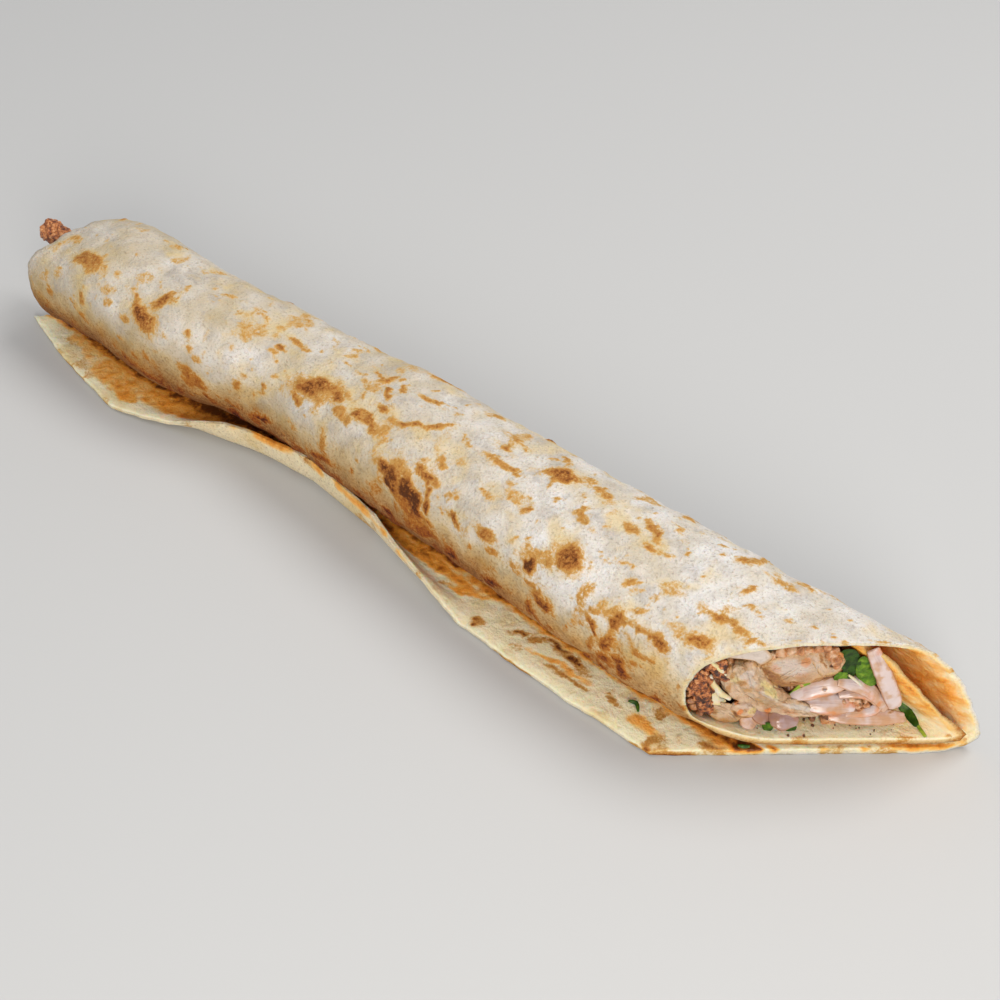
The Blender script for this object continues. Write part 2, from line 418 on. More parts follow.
# What is seen on the pieces: (along, up, half length, half width, turn in degrees, strength).
CHAR_SEEN = (
    (35.0, 34.5, 6.5, 1.7, -48, 0.65), (41.0, 31.0, 6.5, 1.4, 0, 0.60), (51.0, 33.5, 4.5, 1.4, 23, 0.55),
    (32.0, 40.5, 2.5, 1.5, -37, 0.45), (48.0, 42.0, 5.0, 0.5, -59, 0.60), (51.5, 40.0, 1.0, 1.2, 0, 1.00),
    (23.0, 35.0, 1.0, 2.0, 0, 0.50), (26.5, 31.0, 2.0, 1.2, -27, 0.50), (20.5, 37.5, 1.0, 3.5, -13, 0.60),
    (24.0, 42.0, 3.5, 1.4, 0, 0.55), (23.0, 29.0, 0.9, 2.5, 0, 0.50), (29.0, 28.0, 2.0, 1.0, -27, 0.40),
    (20.5, 18.0, 2.5, 1.2, -38, 0.50), (25.5, 13.0, 3.0, 1.0, -28, 0.50), (52.5, 28.0, 1.2, 1.0, 0, 1.00),
    (29.5, 40.5, 2.0, 2.5, 0, 0.45), (34.0, 22.5, 3.0, 0.7, -35, 0.40), (76.0, 17.5, 1.0, 1.0, 0, 0.60),
)
ORANGE_SEEN = (
    (43.5, 41.0, 1.6, 2.5, 0, 0.50), (51.0, 44.0, 3.5, 2.5, -35, 0.80), (37.5, 46.0, 5.0, 1.6, 0, 0.60),
    (26.5, 22.0, 1.0, 1.2, 0, 0.90), (29.0, 18.0, 1.0, 1.5, 0, 0.80), (37.5, 18.0, 1.0, 1.5, 0, 1.00),
    (52.0, 25.0, 5.5, 0.8, 13, 0.60), (63.5, 22.0, 4.5, 3.0, 0, 0.70), (69.5, 15.5, 8.0, 1.2, 0, 0.50),
    (44.0, 18.0, 4.0, 1.2, -21, 0.35), (66.5, 26.0, 6.5, 1.4, -55, 0.45), (14.0, 33.0, 1.6, 5.5, -12, 0.80),
    (64.5, 46.0, 1.5, 2.0, 0, 0.60), (35.0, 38.0, 2.5, 1.5, -38, 0.40), (43.0, 35.0, 3.5, 1.4, 7, 0.30),
    (71.0, 20.0, 1.0, 3.5, 0, 0.60), (57.0, 16.0, 4.0, 2.0, 0, 0.60), (48.5, 14.0, 3.5, 1.8, 0, 0.40),
)
PALE_SEEN = (
    (39.5, 38.5, 7.0, 3.8, -15, 0.95), (27.5, 35.0, 1.8, 2.8, -27, 0.90), (46.0, 41.0, 1.4, 4.5, 34, 0.60),
    (45.0, 26.0, 2.4, 1.6, 51, 1.00), (70.5, 32.0, 9.5, 1.7, -60, 0.95), (47.0, 19.5, 7.0, 1.2, -18, 0.90),
    (55.0, 16.5, 3.0, 1.2, -27, 1.00), (43.0, 13.0, 1.0, 1.0, 0, 1.00), (30.0, 20.5, 2.4, 1.6, 0, 0.60),
    (64.5, 28.5, 4.5, 0.9, -43, 0.90), (55.5, 21.5, 4.5, 1.4, 0, 0.80), (50.5, 29.5, 4.0, 0.9, 20, 0.60),
    (76.0, 22.0, 1.2, 3.0, 0, 0.90), (29.6, 31.4, 3.0, 1.5, -52, 0.80), (36.2, 25.2, 4.5, 1.1, -40, 0.85),
)
YELLOW_SEEN = (
    (35.5, 28.0, 6.0, 1.5, -56, 0.90), (41.0, 30.0, 6.5, 0.8, 0, 0.60), (24.0, 33.0, 3.0, 1.6, -37, 0.60),
    (18.5, 26.0, 2.5, 2.5, -38, 0.70), (32.5, 18.0, 1.4, 2.0, 0, 0.70), (53.0, 35.5, 2.0, 1.2, 30, 0.60),
)
SEEN_WANDER = ((0.0025, 0.7), (0.0009, 0.35))
# Shreds of parsley on the flap, each as three places along and around, in millimetres.
HERBS = (
    ((99.8, -12.6), (102.4, -11.8), (104.8, -14.2)), ((134.2, -5.2), (136.0, -4.4), (137.4, -3.0)),
)
HERB_HALF = 0.0007
# Grains of spice: how many, where at random, and their half size.
SPICE_COUNT = 26
SPICE_SPAN = ((34.0, 80.0), (6.0, 15.0))
SPICE_HALF = (0.10, 0.30)
SPICE_PLACES = ((51.5, 5.6, 0.5), (46.5, 5.8, 0.45), (53.0, 10.5, 0.5), (47.5, 12.5, 0.45), (49.5, 13.5, 0.5))
# Filling: its section, the same at every cut, and how it is drawn in at both ends.
CORE_BACK = -0.1660
CORE_SHORT_OF_KNIFE = 0.0075
CORE_SECTION = np.array((
    (-0.0262, 0.0280), (-0.0252, 0.0352), (-0.0215, 0.0405), (-0.0135, 0.0438), (-0.0040, 0.0450),
    (0.0025, 0.0430), (0.0070, 0.0368), (0.0142, 0.0262), (0.0205, 0.0165), (0.0236, 0.0106),
    (0.0200, 0.0086), (0.0080, 0.0080), (-0.0080, 0.0084), (-0.0160, 0.0104), (-0.0225, 0.0150), (-0.0252, 0.0210),
))
CORE_RINGS = 300
CORE_SIDES = 150
CORE_LUMPS = ((0.0070, 0.0007), (0.0022, 0.0005))
CORE_FRONT_LUMPS = ((0.0060, 0.0016), (0.0020, 0.0008))
CORE_ROUND = 0.03
# Browned meat that sticks out of the far end: rows of (x, y, z, half width, half thickness), in metres.
TIP_ROWS = np.array((
    (-0.1640, -0.0148, 0.0305, 0.0030, 0.0028), (-0.1750, -0.0150, 0.0312, 0.0040, 0.0034),
    (-0.1860, -0.0152, 0.0318, 0.0044, 0.0036), (-0.1950, -0.0154, 0.0322, 0.0046, 0.0034),
))


def ease(value, low, high):
    """A smooth step from 0 to 1 while the value crosses from low to high."""
    share = np.clip((value - low) / (high - low), 0.0, 1.0)
    return share * share * (3.0 - 2.0 * share)


def bumps(points, size, seed=0.0):
    """Smooth noise, about -1 to 1, with features of this size, at each row of points."""
    flat = np.asarray(points, float).reshape(-1, 3) / size + seed
    values = [noise.noise(Vector(point)) for point in flat]
    return np.array(values).reshape(np.shape(points)[:-1])


def smooth_curve(points, places):
    """Points of the Catmull-Rom curve through the points, at places counted in points."""
    padded = np.vstack((2 * points[0] - points[1], points, 2 * points[-1] - points[-2]))
    start = np.clip(np.floor(places).astype(int), 0, len(points) - 2)
    share = (places - start)[..., None]
    before, here, after, beyond = (padded[start + step] for step in range(4))
    bend = (2 * before - 5 * here + 4 * after - beyond) * share ** 2
    turn = (3 * here - before - 3 * after + beyond) * share ** 3
    return 0.5 * (2 * here + (after - before) * share + bend + turn)


def girth(x):
    """Size of the cross-section at x, as a share of the full one."""
    waist = WAIST_DEPTH * np.exp(-(((x - WAIST_AT) / WAIST_WIDTH) ** 2))
    return GIRTH_FAR + (1.0 - GIRTH_FAR) * ease(x, *GIRTH_SPAN) - waist


def centre_line(x):
    """Y of the roll's middle at x, on the design's axes."""
    return CENTRE_FAR + BEND_SHIFT * ease(x, *BEND_SPAN) + DRIFT_SHIFT * ease(x, *DRIFT_SPAN)


def warp(x, across, up):
    """Takes points of the straight roll to their places in the bent, slumped and lumpy one."""
    size = girth(x)
    slump = 1.0 - SLUMP_DEPTH * ease(x, *SLUMP_SPAN)
    y = centre_line(x) + across * size
    z = HALF_THICKNESS + (up - HALF_THICKNESS) * size * slump
    points = np.stack((x, y, z), axis=-1)
    lumps = [noise.noise_vector(Vector(point)) for point in points.reshape(-1, 3) * LUMP_SCALE]
    lumps = np.array(lumps).reshape(points.shape)
    loose = LUMP_HEIGHT * ease(z, *LUMP_FREE_FROM)[..., None]
    return points + loose * lumps * (0.0, 1.0, 1.0)


def knife_plane_x(y):
    return KNIFE_CORNER[0] + (y - KNIFE_CORNER[1]) / math.tan(KNIFE_ANGLE)


def knife_x(across):
    """Where the knife plane crosses the line along the roll at this distance across it."""
    x = np.full_like(across, KNIFE_CORNER[0])
    for _ in range(KNIFE_STEPS):
        x = knife_plane_x(centre_line(x) + across * girth(x))
    return x


def flap_run(x):
    """Width of the flap at x, from its root to its slightly ragged edge, laid flat."""
    bend = np.interp(x, FLAP_STATIONS[:, 0], FLAP_STATIONS[:, 1])
    lip = np.interp(x, FLAP_STATIONS[:, 0], FLAP_STATIONS[:, 2])
    line = np.stack((x, 0.0 * x, 0.0 * x), axis=-1)
    ragged = sum(height * bumps(line, size, 51.3) for size, height in FLAP_RAGS)
    return bend - FLAP_ROOT + lip + ragged


def flap_points(x, share):
    """(across, up) on the flap, from its root at share 0 to its edge at share 1."""
    bend = np.interp(x, FLAP_STATIONS[:, 0], FLAP_STATIONS[:, 1])
    turn = np.radians(np.interp(x, FLAP_STATIONS[:, 0], FLAP_STATIONS[:, 3]))
    run = share * flap_run(x)
    beyond = np.maximum(run - (bend - FLAP_ROOT), 0.0)
    angle = np.minimum(beyond / FLAP_BEND_RADIUS, turn)
    straight = beyond - angle * FLAP_BEND_RADIUS
    reach = FLAP_ROOT + run - beyond + FLAP_BEND_RADIUS * np.sin(angle) + straight * np.cos(angle)
    rise = FLAP_BEND_RADIUS * (1.0 - np.cos(angle)) + straight * np.sin(angle)
    return -reach / girth(x), HALF_THICKNESS + rise / girth(x)


def section_lengths():
    """Places along SECTION and the length of the section up to each."""
    places = np.linspace(0.0, len(SECTION) - 1.0, 3000)
    steps = np.diff(smooth_curve(SECTION, places), axis=0)
    lengths = np.concatenate(((0.0,), np.cumsum(np.hypot(steps[:, 0], steps[:, 1]))))
    return places, lengths


def grid_columns():
    """For each column of the bread's grid: its share of the flap, its place on SECTION, its way round."""
    places, lengths = section_lengths()
    under = np.arange(0.0, GRID_UNDER_END, GRID_STEP_UNDER)
    shown = np.arange(GRID_UNDER_END, np.interp(FRONT_END, places, lengths), GRID_STEP)
    inside = np.arange(shown[-1] + GRID_STEP, lengths[-1] - GRID_STEP, GRID_STEP_INSIDE)
    around = np.concatenate((under, shown, inside, lengths[-1:]))
    flap = np.linspace(1.0, 0.0, GRID_ON_FLAP + 1)[:-1]
    share = np.concatenate((flap, np.zeros(len(around))))
    place = np.concatenate((np.zeros(len(flap)), np.interp(around, lengths, places)))
    return share, place, np.concatenate((np.zeros(len(flap)), around))


def far_edge_x(column):
    """Where the sheet starts at the far end, in each column of its solid."""
    reach = FAR_FLAP_REACH * np.maximum(1.0 - column / FAR_FLAP_WIDTH, 0.0)
    reach += FAR_FRONT_REACH * np.exp(-(((column - FAR_FRONT_AT) / FAR_FRONT_WIDTH) ** 2))
    setback = FAR_INNER_SETBACK * ease(column, *FAR_INNER_SPAN)
    ragged = [noise.noise(Vector((c * FAR_RAG_STEP, FAR_RAG_SEED, FAR_RAG_SEED))) for c in column]
    fine = [noise.noise(Vector((c * FAR_FINE_STEP, 0.0, FAR_RAG_SEED))) for c in column]
    return FAR_EDGE - reach + setback + FAR_RAGGED * np.array(ragged) + FAR_FINE_RAGGED * np.array(fine)


def sheet_middle():
    """The rolled sheet's middle surface on the grid, with each point's way along and around it."""
    share, place, around = grid_columns()
    in_solid = np.where(share > 0.0, (1.0 - share) * FLAP_COLUMNS_IN_SOLID, FLAP_COLUMNS_IN_SOLID + place)
    start = far_edge_x(in_solid)
    across_at_knife = smooth_curve(SECTION, place)[:, 0]
    flap_across, _ = flap_points(np.full_like(share, KNIFE_CORNER[0]), share)
    end = knife_x(np.where(share > 0.0, flap_across, across_at_knife))
    rows = np.linspace(0.0, 1.0, GRID_ROWS + 1)[:, None]
    rows = rows * (1.0 + GRID_ROWS_NEARER * (1.0 - rows))
    x = start + rows * (end - start)
    shares = np.broadcast_to(share, x.shape)
    rolled = smooth_curve(SECTION, np.broadcast_to(place, x.shape))
    flap = np.stack(flap_points(x, shares), axis=-1)
    section = np.where((shares > 0.0)[..., None], flap, rolled)
    ways = np.where(shares > 0.0, -shares * flap_run(x), around)
    up = np.maximum(section[..., 1], HALF_THICKNESS)
    return warp(x, section[..., 0], up), x, ways


def outward(points):
    """Unit normals of a grid of points, facing out of the roll."""
    along = np.gradient(points, axis=0)
    around = np.gradient(points, axis=1)
    normal = np.cross(around, along)
    return normal / np.linalg.norm(normal, axis=-1, keepdims=True)


def overhang(around):
    """How far the sheet sticks out past the knife plane: the base was not cut as short as the roll."""
    over = around[-1] / MM
    ragged = sum(height * bumps(np.stack((over, 0.0 * over, 0.0 * over), axis=-1), size, 23.3)
                 for size, height in KNIFE_RAGS)
    floor = ease(over, *FLOOR_SPAN[:2]) * (1.0 - ease(over, *FLOOR_SPAN[2:]))
    return BASE_OVERHANG * (1.0 - ease(over, *OVERHANG_SPAN)) + FLOOR_OVERHANG * floor + ragged


def slide_to_knife(points, around):
    """Moves the last rows along the roll so that the sheet ends on the knife plane or sticks out past it."""
    short = knife_plane_x(points[-1, :, 1]) + overhang(around) - points[-1, :, 0]
    left = points[-1, :, 0] - points[..., 0]
    moved = points.copy()
    moved[..., 0] += short * (1.0 - ease(left, 0.0, KNIFE_SLIDE))
    return moved


def wandered(points, along, around):
    """Sheet coordinates in millimetres, pushed about so that round marks come out ragged."""
    shifted = [along / MM, around / MM]
    for seed, (size, reach) in enumerate(WANDER):
        shifted[0] = shifted[0] + reach * bumps(points, size, 3.1 + seed)
        shifted[1] = shifted[1] + reach * bumps(points, size, 17.7 + seed)
    return shifted


def paint_marks(ways, marks):
    """Strength of the marks at each point, as (mark, its pale halo)."""
    along, around = ways
    core = np.zeros(along.shape)
    halo = np.zeros(along.shape)
    for at, over, long, wide, turn, depth in marks:
        near = (np.abs(along - at) < 2.6 * long + 3.0) & (np.abs(around - over) < 2.6 * long + 3.0)
        u, v = along[near] - at, around[near] - over
        c, s = math.cos(math.radians(turn)), math.sin(math.radians(turn))
        away = np.hypot((u * c + v * s) / long, (v * c - u * s) / wide)
        outside = (away - 1.0) * wide / max(wide, HALO_LEAST) + 1.0
        core[near] = np.maximum(core[near], depth * (1.0 - ease(away, *MARK_BLUR)))
        halo[near] = np.maximum(halo[near], depth * (1.0 - ease(outside, *HALO_BLUR)))
    return core, halo


def random_marks(count, along, around, long, depth):
    """Seeded marks spread over a stretch of the sheet, longer than they are wide."""
    places = [RANDOM.uniform(*along, count), RANDOM.uniform(*around, count)]
    lengths = long[0] + (long[1] - long[0]) * RANDOM.power(0.45, count)
    widths = lengths * RANDOM.uniform(0.3, 0.9, count)
    turns = RANDOM.uniform(-90.0, 90.0, count)
    depths = RANDOM.uniform(*depth, count)
    return list(zip(*places, lengths, widths, turns, depths))


def clouds(points):
    """Faint yellow patches of the sheet, 0 to CLOUD_DEPTH."""
    values = sum(share * bumps(points, size, 41.0) for size, share in CLOUD_SIZES)
    return CLOUD_DEPTH * ease(values, *CLOUD_SPAN)


def outside_toast(points, along, around):
    """Browning of the outside, and how much each point blisters."""
    ways = wandered(points, along, around)
    marks = list(FAR_MARKS + MIDDLE_MARKS + MOUTH_MARKS)
    marks += random_marks(SPECK_COUNT, (-180, 175), (92, 164), (0.6, 3.2), (0.12, 0.50))
    marks += random_marks(CREASE_MARK_COUNT, (-100, 110), (154, 166), (1.5, 5.0), (0.5, 1.0))
    marks += random_marks(BACK_MARK_COUNT, (-175, 180), (44, 94), (1.2, 8.0), (0.3, 0.9))
    marks += random_marks(UNDER_MARK_COUNT, (-178, 180), (-22, 42), (1.2, 9.0), (0.3, 0.9))
    core, halo = paint_marks(ways, marks)
    toast = np.maximum(TOAST_SHARE * core, np.maximum(halo * HALO_SHARE, clouds(points)))
    return np.maximum(toast, rim_toast(points, along)), core


def rim_toast(points, along):
    """Small browned spots along the cut rim of the mouth."""
    spots = ease(bumps(points, RIM_SPOT, 97.0), *RIM_SPOT_SPAN)
    return RIM_TOAST * spots * (1.0 - ease((along[-1] - along) / MM, *RIM_TOAST_SPAN))


def floury(points, along, around):
    """How much flour is left on the outside, from 0 to 1."""
    patches = 0.45 * bumps(points, 0.016, 81.0) + 0.35 * bumps(points, 0.005, 82.0)
    return np.clip(0.27 + 0.51 * ease(along, *FLOUR_SPAN) + patches, 0.0, 1.0)


def warmth(points, along, around):
    """Golden tint of the outside: the lower front, the crease under it and the turned-up lip."""
    over = wandered(points, along, around)[1]
    over = over + sum(reach * bumps(points, size, 29.0) for size, reach in CREASE_WANDER)
    paler = 1.0 - (1.0 - PALER_SHARE) * ease(along, *PALER_SPAN)
    return np.where(around < 0.0, LIP_WARMTH, paler * ease(over, *CREASE_SPAN) * (around > 0.1))


def flap_warmth(points, along, around):
    """Golden tint of the flap's upper side."""
    over = wandered(points, along, around)[1]
    return FLAP_WARMTH * (1.0 - ease(-over, *FLAP_WARM_SPAN)) * (around < 0.0)


def crease_sauce(points, along, around):
    """Sauce that has run along the crease between the flap and the roll, on the flap's upper side."""
    over = wandered(points, along, around)[1]
    reach = CREASE_REACH[0] + CREASE_REACH[1] * (0.5 + 0.5 * bumps(points, CREASE_PATCH, 12.0))
    return CREASE_SAUCE * (1.0 - ease(-over, CREASE_FADE, reach))


def lip_sauce(points, along, around):
    """Sauce that stains the outer side of the turned-up lip along its edge."""
    from_edge = (around - around[:, :1]) / MM
    patches = ease(bumps(points, LIP_SAUCE_PATCH, 15.0), -0.5, 0.4)
    lengthwise = ease(along / MM, LIP_SAUCE_SPAN[0], LIP_SAUCE_SPAN[0] + 20.0)
    lengthwise = lengthwise * (1.0 - ease(along / MM, LIP_SAUCE_SPAN[1] - 20.0, LIP_SAUCE_SPAN[1]))
    return LIP_SAUCE * patches * lengthwise * (1.0 - ease(from_edge, *LIP_SAUCE_REACH)) * (around < 0.0)


def flap_toast(points, along, around):
    core, halo = paint_marks(wandered(points, along, around), FLAP_MARKS)
    return np.maximum(core, np.maximum(halo * HALO_SHARE, clouds(points)))


def mouth_stain(points, along, around):
    """Orange sauce on the inside of the roll, palest at the very rim of the mouth."""
    ways = wandered(points, along, around)
    over = ways[1]
    from_knife = (along[-1] - along) / MM
    back_wall = ease(over, 38.0, 60.0) * (1.0 - ease(over, 100.0, 120.0)) * (0.28 + 0.20 * ease(from_knife, 0.6, 4.0))
    inner_wall = 0.60 * ease(over, 210.0, 240.0)
    floor = 0.20 * ease(over, 150.0, 175.0) * (1.0 - ease(over, 215.0, 232.0)) * (0.3 + 0.7 * ease(from_knife, 1.0, 8.0))
    return np.maximum(back_wall, np.maximum(inner_wall, floor)) * (1.0 + 0.5 * bumps(points, 0.006, 90.0))


def relief(points, blister):
    height = sum(size * bumps(points, width, 60.0) for width, size in RELIEF_BUMPS)
    return height + BLISTER_HEIGHT * blister * (0.6 + 0.6 * bumps(points, 0.004, 71.0))


def edge_thinning(around):
    """Share of the sheet's thickness left at each point: the edges of the sheet are thinner."""
    rows, columns = np.indices(around.shape)
    near = np.minimum(columns, rows) * GRID_STEP
    return 1.0 - EDGE_THINNING * (1.0 - ease(near, 0.0, EDGE_SPAN))


def rim_thinning(along, around):
    """How far the inner face gives way to the outer one near the knife, where the sheet is squeezed thin."""
    over = around / MM
    floor = ease(over, *FLOOR_SPAN[:2]) * (1.0 - ease(over, *FLOOR_SPAN[2:]))
    above_base = ease(over, *OVERHANG_SPAN) * (1.0 - floor)
    return 2.0 * HALF_THICKNESS * RIM_THINNING * above_base * (1.0 - ease(along[-1] - along, 0.0, RIM_SPAN))


def loop_around(grid):
    """The values along a grid's whole border, in order, without repeating the corners."""
    return np.concatenate((grid[-1, :-1], grid[::-1, -1][:-1], grid[0, ::-1][:-1], grid[:-1, 0]))


def bread_points(outer, inner):
    """All the bread's vertices: both faces, then the rows that close its rim from one to the other."""
    rim_out, rim_in = loop_around(outer), loop_around(inner)
    layers = []
    for step in range(1, RIM_STEPS + 1):
        share = step / (RIM_STEPS + 1.0)
        layers.append(rim_out + share * (rim_in - rim_out))
    return np.concatenate([outer.reshape(-1, 3), inner.reshape(-1, 3)] + layers)


def bread_faces(rows, columns):
    """Quads of both faces and of the rim between them."""
    index = np.arange(rows * columns).reshape(rows, columns)
    corners = (index[:-1, :-1], index[:-1, 1:], index[1:, 1:], index[1:, :-1])
    outer = np.stack([corner.ravel() for corner in corners], axis=1)
    inner = outer[:, ::-1] + rows * columns
    border = loop_around(index)
    count = len(border)
    loops = [border]
    for step in range(RIM_STEPS):
        loops.append(2 * rows * columns + step * count + np.arange(count))
    loops.append(border + rows * columns)
    rim = []
    for near, far in zip(loops[:-1], loops[1:]):
        rim.append(np.stack((near, np.roll(near, -1), np.roll(far, -1), far), axis=1))
    return np.concatenate([outer, inner] + rim)


def new_object(name, points, faces, material, values=None):
    """A smooth mesh object from arrays, with its point values as attributes, riding on the wrap."""
    mesh = bpy.data.meshes.new(name)
    mesh.from_pydata(points.tolist(), [], faces)
    for key, value in (values or {}).items():
        mesh.attributes.new(key, "FLOAT", "POINT").data.foreach_set("value", value.astype(np.float32))
    mesh.materials.append(material)
    mesh.shade_smooth()
    made = bpy.data.objects.new(name, mesh)
    bpy.context.scene.collection.objects.link(made)
    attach(made, "root")
    return made


def both_sides(outer, inner):
    """Point values of the whole bread, in the order of bread_points()."""
    rim_out, rim_in = loop_around(outer), loop_around(inner)
    layers = []
    for step in range(1, RIM_STEPS + 1):
        share = step / (RIM_STEPS + 1.0)
        layers.append(rim_out + share * (rim_in - rim_out))
    return np.concatenate([outer.ravel(), inner.ravel()] + layers)


def make_bread(material):
    """The flatbread as one closed, finely gridded body."""
    middle, along, around = sheet_middle()
    normal = outward(middle)
    half = (HALF_THICKNESS * edge_thinning(around))[..., None]
    toast, blister = outside_toast(middle, along, around)
    under_toast = np.where(around < 0.0, flap_toast(middle, along, around), 0.5 * clouds(middle))
    under_toast = np.maximum(under_toast, rim_toast(middle, along))
    ways = wandered(middle, along, around)
    stain = np.where(around < 0.0, crease_sauce(middle, along, around), mouth_stain(middle, along, around))
    sauce = np.maximum(paint_marks(ways, SAUCE_MARKS + BASE_MARKS)[0], stain)
    raised = relief(middle, blister) * ease(middle[..., 2], *RELIEF_FREE_FROM) * (around > 0.0)
    outer = slide_to_knife(middle + normal * (half + raised[..., None]), around)
    inner = slide_to_knife(middle - normal * (half - rim_thinning(along, around)[..., None]), around)
    points = bread_points(outer, inner) + DESIGN_SHIFT
    faces = bread_faces(*along.shape).tolist()
    flat = np.zeros(along.shape)
    values = {
        "along": both_sides(along, along),
        "around": both_sides(around, around),
        "inside": both_sides(flat, flat + 1.0),
        "toast": both_sides(toast, under_toast),
        "sauce": both_sides(lip_sauce(middle, along, around), sauce),
        "flour": both_sides(floury(middle, along, around), flat),
        "lip": both_sides(np.where(around < 0.0, 0.8, 0.0), flat),
        "warm": both_sides(warmth(middle, along, around), flap_warmth(middle, along, around)),
    }
    bread = new_object("bread", points, faces, material, values)
    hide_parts("flatbread")
    return bread


def cut_point(along, up, depth):
    """The point seen at this place on the knife plane, this deep behind it down the line of sight."""
    point = np.multiply.outer(np.asarray(along) * MM, CUT_WAY) + KNIFE_CORNER + DESIGN_SHIFT
    point = point + np.multiply.outer(np.asarray(up) * MM, (0.0, 0.0, 1.0))
    return point + np.multiply.outer(np.asarray(depth) * MM, SIGHT)


def seen_at(points):
    """Where points are seen on the knife plane: millimetres along the cut and up."""
    away = points - KNIFE_CORNER - DESIGN_SHIFT
    depth = (away @ CUT_NORMAL) / (SIGHT @ CUT_NORMAL)
    on_plane = away - depth[..., None] * SIGHT
    return on_plane @ CUT_WAY / MM, on_plane[..., 2] / MM


def unit(vectors):
    return vectors / np.linalg.norm(vectors, axis=-1, keepdims=True)


def capped_faces(rings, sides):
    """Faces of a tube of rings closed by a point at each end; the points come after the rings."""
    index = np.arange(rings * sides).reshape(rings, sides)
    following = np.roll(index, -1, axis=1)
    tube = np.stack((index[:-1], following[:-1], following[1:], index[1:]), axis=-1).reshape(-1, 4)
    start = np.stack((following[0], index[0], np.full(sides, rings * sides)), axis=-1)
    end = np.stack((index[-1], following[-1], np.full(sides, rings * sides + 1)), axis=-1)
    return tube.tolist() + start.tolist() + end.tolist()


def with_end_points(rings):
    """Rings of points or values as one list, then the middle of the first ring and of the last."""
    flat = rings.reshape(-1, rings.shape[-1])
    return np.concatenate((flat, rings[:1].mean(axis=1), rings[-1:].mean(axis=1)))


def swelling(own, form, seed):
    """How far each point of a piece swells, in millimetres, from its own coordinates."""
    ridges = bumps(own / (form["ridge_long"], form["ridge_wide"], form["ridge_wide"]), 1.0, seed)
    return form["ridge"] * ridges + form["lump"] * bumps(own / form["lump_size"], 1.0, seed + 9.0)


def placed(rows):
    """Rows of (along, up, depth, half width, half thickness) as (x, y, z, half sizes), in metres."""
    rows = np.array(rows)
    return np.column_stack((cut_point(rows[:, 0], rows[:, 1], rows[:, 2]), rows[:, 3:] * MM))


def evenly_spaced(rows, step):
    """The rows' smooth curve at even steps along it, as points, half sizes and lengths, in millimetres."""
    fine = smooth_curve(rows, np.linspace(0.0, len(rows) - 1.0, 300)) / MM
    run = np.concatenate(((0.0,), np.cumsum(np.linalg.norm(np.diff(fine[:, :3], axis=0), axis=1))))
    count = max(int(run[-1] / step), 10)
    turn = np.linspace(0.0, math.pi, count + 2)[1:-1]
    at = run[-1] * (0.7 * np.linspace(0.0, 1.0, count + 2)[1:-1] + 0.15 * (1.0 - np.cos(turn)))
    spaced = np.stack([np.interp(at, run, fine[:, column]) for column in range(5)], axis=-1)
    return spaced[:, :3], spaced[:, 3], spaced[:, 4], at, run[-1]


def strand(rows, form, seed, cup=0.0, step=PIECE_STEP):
    """A long piece swept along rows of (x, y, z, half width, half thickness), facing the eye.

    A cup bends its width back from the eye. Gives its points, faces and own coordinates.
    """
    middle, wide, thick, at, length = evenly_spaced(np.array(rows), step)
    tangent = unit(np.gradient(middle, axis=0))
    front = unit(-SIGHT + (tangent @ SIGHT)[:, None] * tangent)
    side = np.cross(tangent, front)
    inward = np.clip(np.minimum(at, length - at) / (form["end"] * np.maximum(wide, thick)), 0.0, 1.0)
    close = np.sqrt(1.0 - (1.0 - inward) ** 2)[:, None]
    sides = max(int(3.2 * (wide.max() + thick.max()) / step), 8)
    angle = np.linspace(0.0, 2.0 * math.pi, sides, endpoint=False)
    over = np.sign(np.cos(angle)) * np.abs(np.cos(angle)) ** form["power"]
    out = np.sign(np.sin(angle)) * np.abs(np.sin(angle)) ** form["power"]
    across = over * wide[:, None] * close
    toward = out * thick[:, None] * close - cup * np.abs(across) ** 1.5
    own = np.stack((np.broadcast_to(at[:, None], across.shape), across, toward), axis=-1)
    rimward = np.abs(across / wide[:, None])[..., None]
    grown = swelling(own, form, seed) * np.minimum(close * 1.5, 1.0) * np.minimum(wide, 2.0)[:, None] / 2.0
    across = across + grown * np.cos(angle)
    toward = toward + grown * np.sin(angle)
    points = middle[:, None] + across[..., None] * side[:, None] + toward[..., None] * front[:, None]
    own = np.concatenate((own, rimward), axis=-1)
    return with_end_points(points * MM), capped_faces(len(at), sides), with_end_points(own)


def fibrous(rows, count, seed):
    """A pulled piece of meat made of long bundles that lie side by side along the rows, with torn ends."""
    rows = np.array(rows)
    way = np.gradient(rows[:, :2], axis=0)
    across = unit(np.stack((-way[:, 1], way[:, 0]), axis=-1))
    shapes = []
    for number, offset in enumerate(np.linspace(-BUNDLE_SPREAD, BUNDLE_SPREAD, count)):
        share = offset + RANDOM.uniform(-0.5, 0.5) * BUNDLE_SPREAD / count
        bundle = rows.copy()
        bundle[:, :2] += share * rows[:, 3:4] * across
        bundle[:, 3] = rows[:, 3] * BUNDLE_WIDTH / count * RANDOM.uniform(0.8, 1.4)
        bundle[:, 4] = rows[:, 4] * RANDOM.uniform(0.55, 0.75)
        bundle[:, 2] += (1.0 - BUNDLE_ROUND * (1.0 - share ** 2)) * rows[:, 4] * 0.5 + RANDOM.uniform(-0.3, 0.3)
        last = len(rows) - 1.0 - RANDOM.uniform(0.0, BUNDLE_TORN)
        cut = smooth_curve(bundle, np.linspace(RANDOM.uniform(0.0, 0.3), last, len(rows) + 2))
        shapes.append(strand(placed(cut), FLESH, seed + number))
        shapes[-1][2][:, 3] = 0.0
    return merged(shapes)


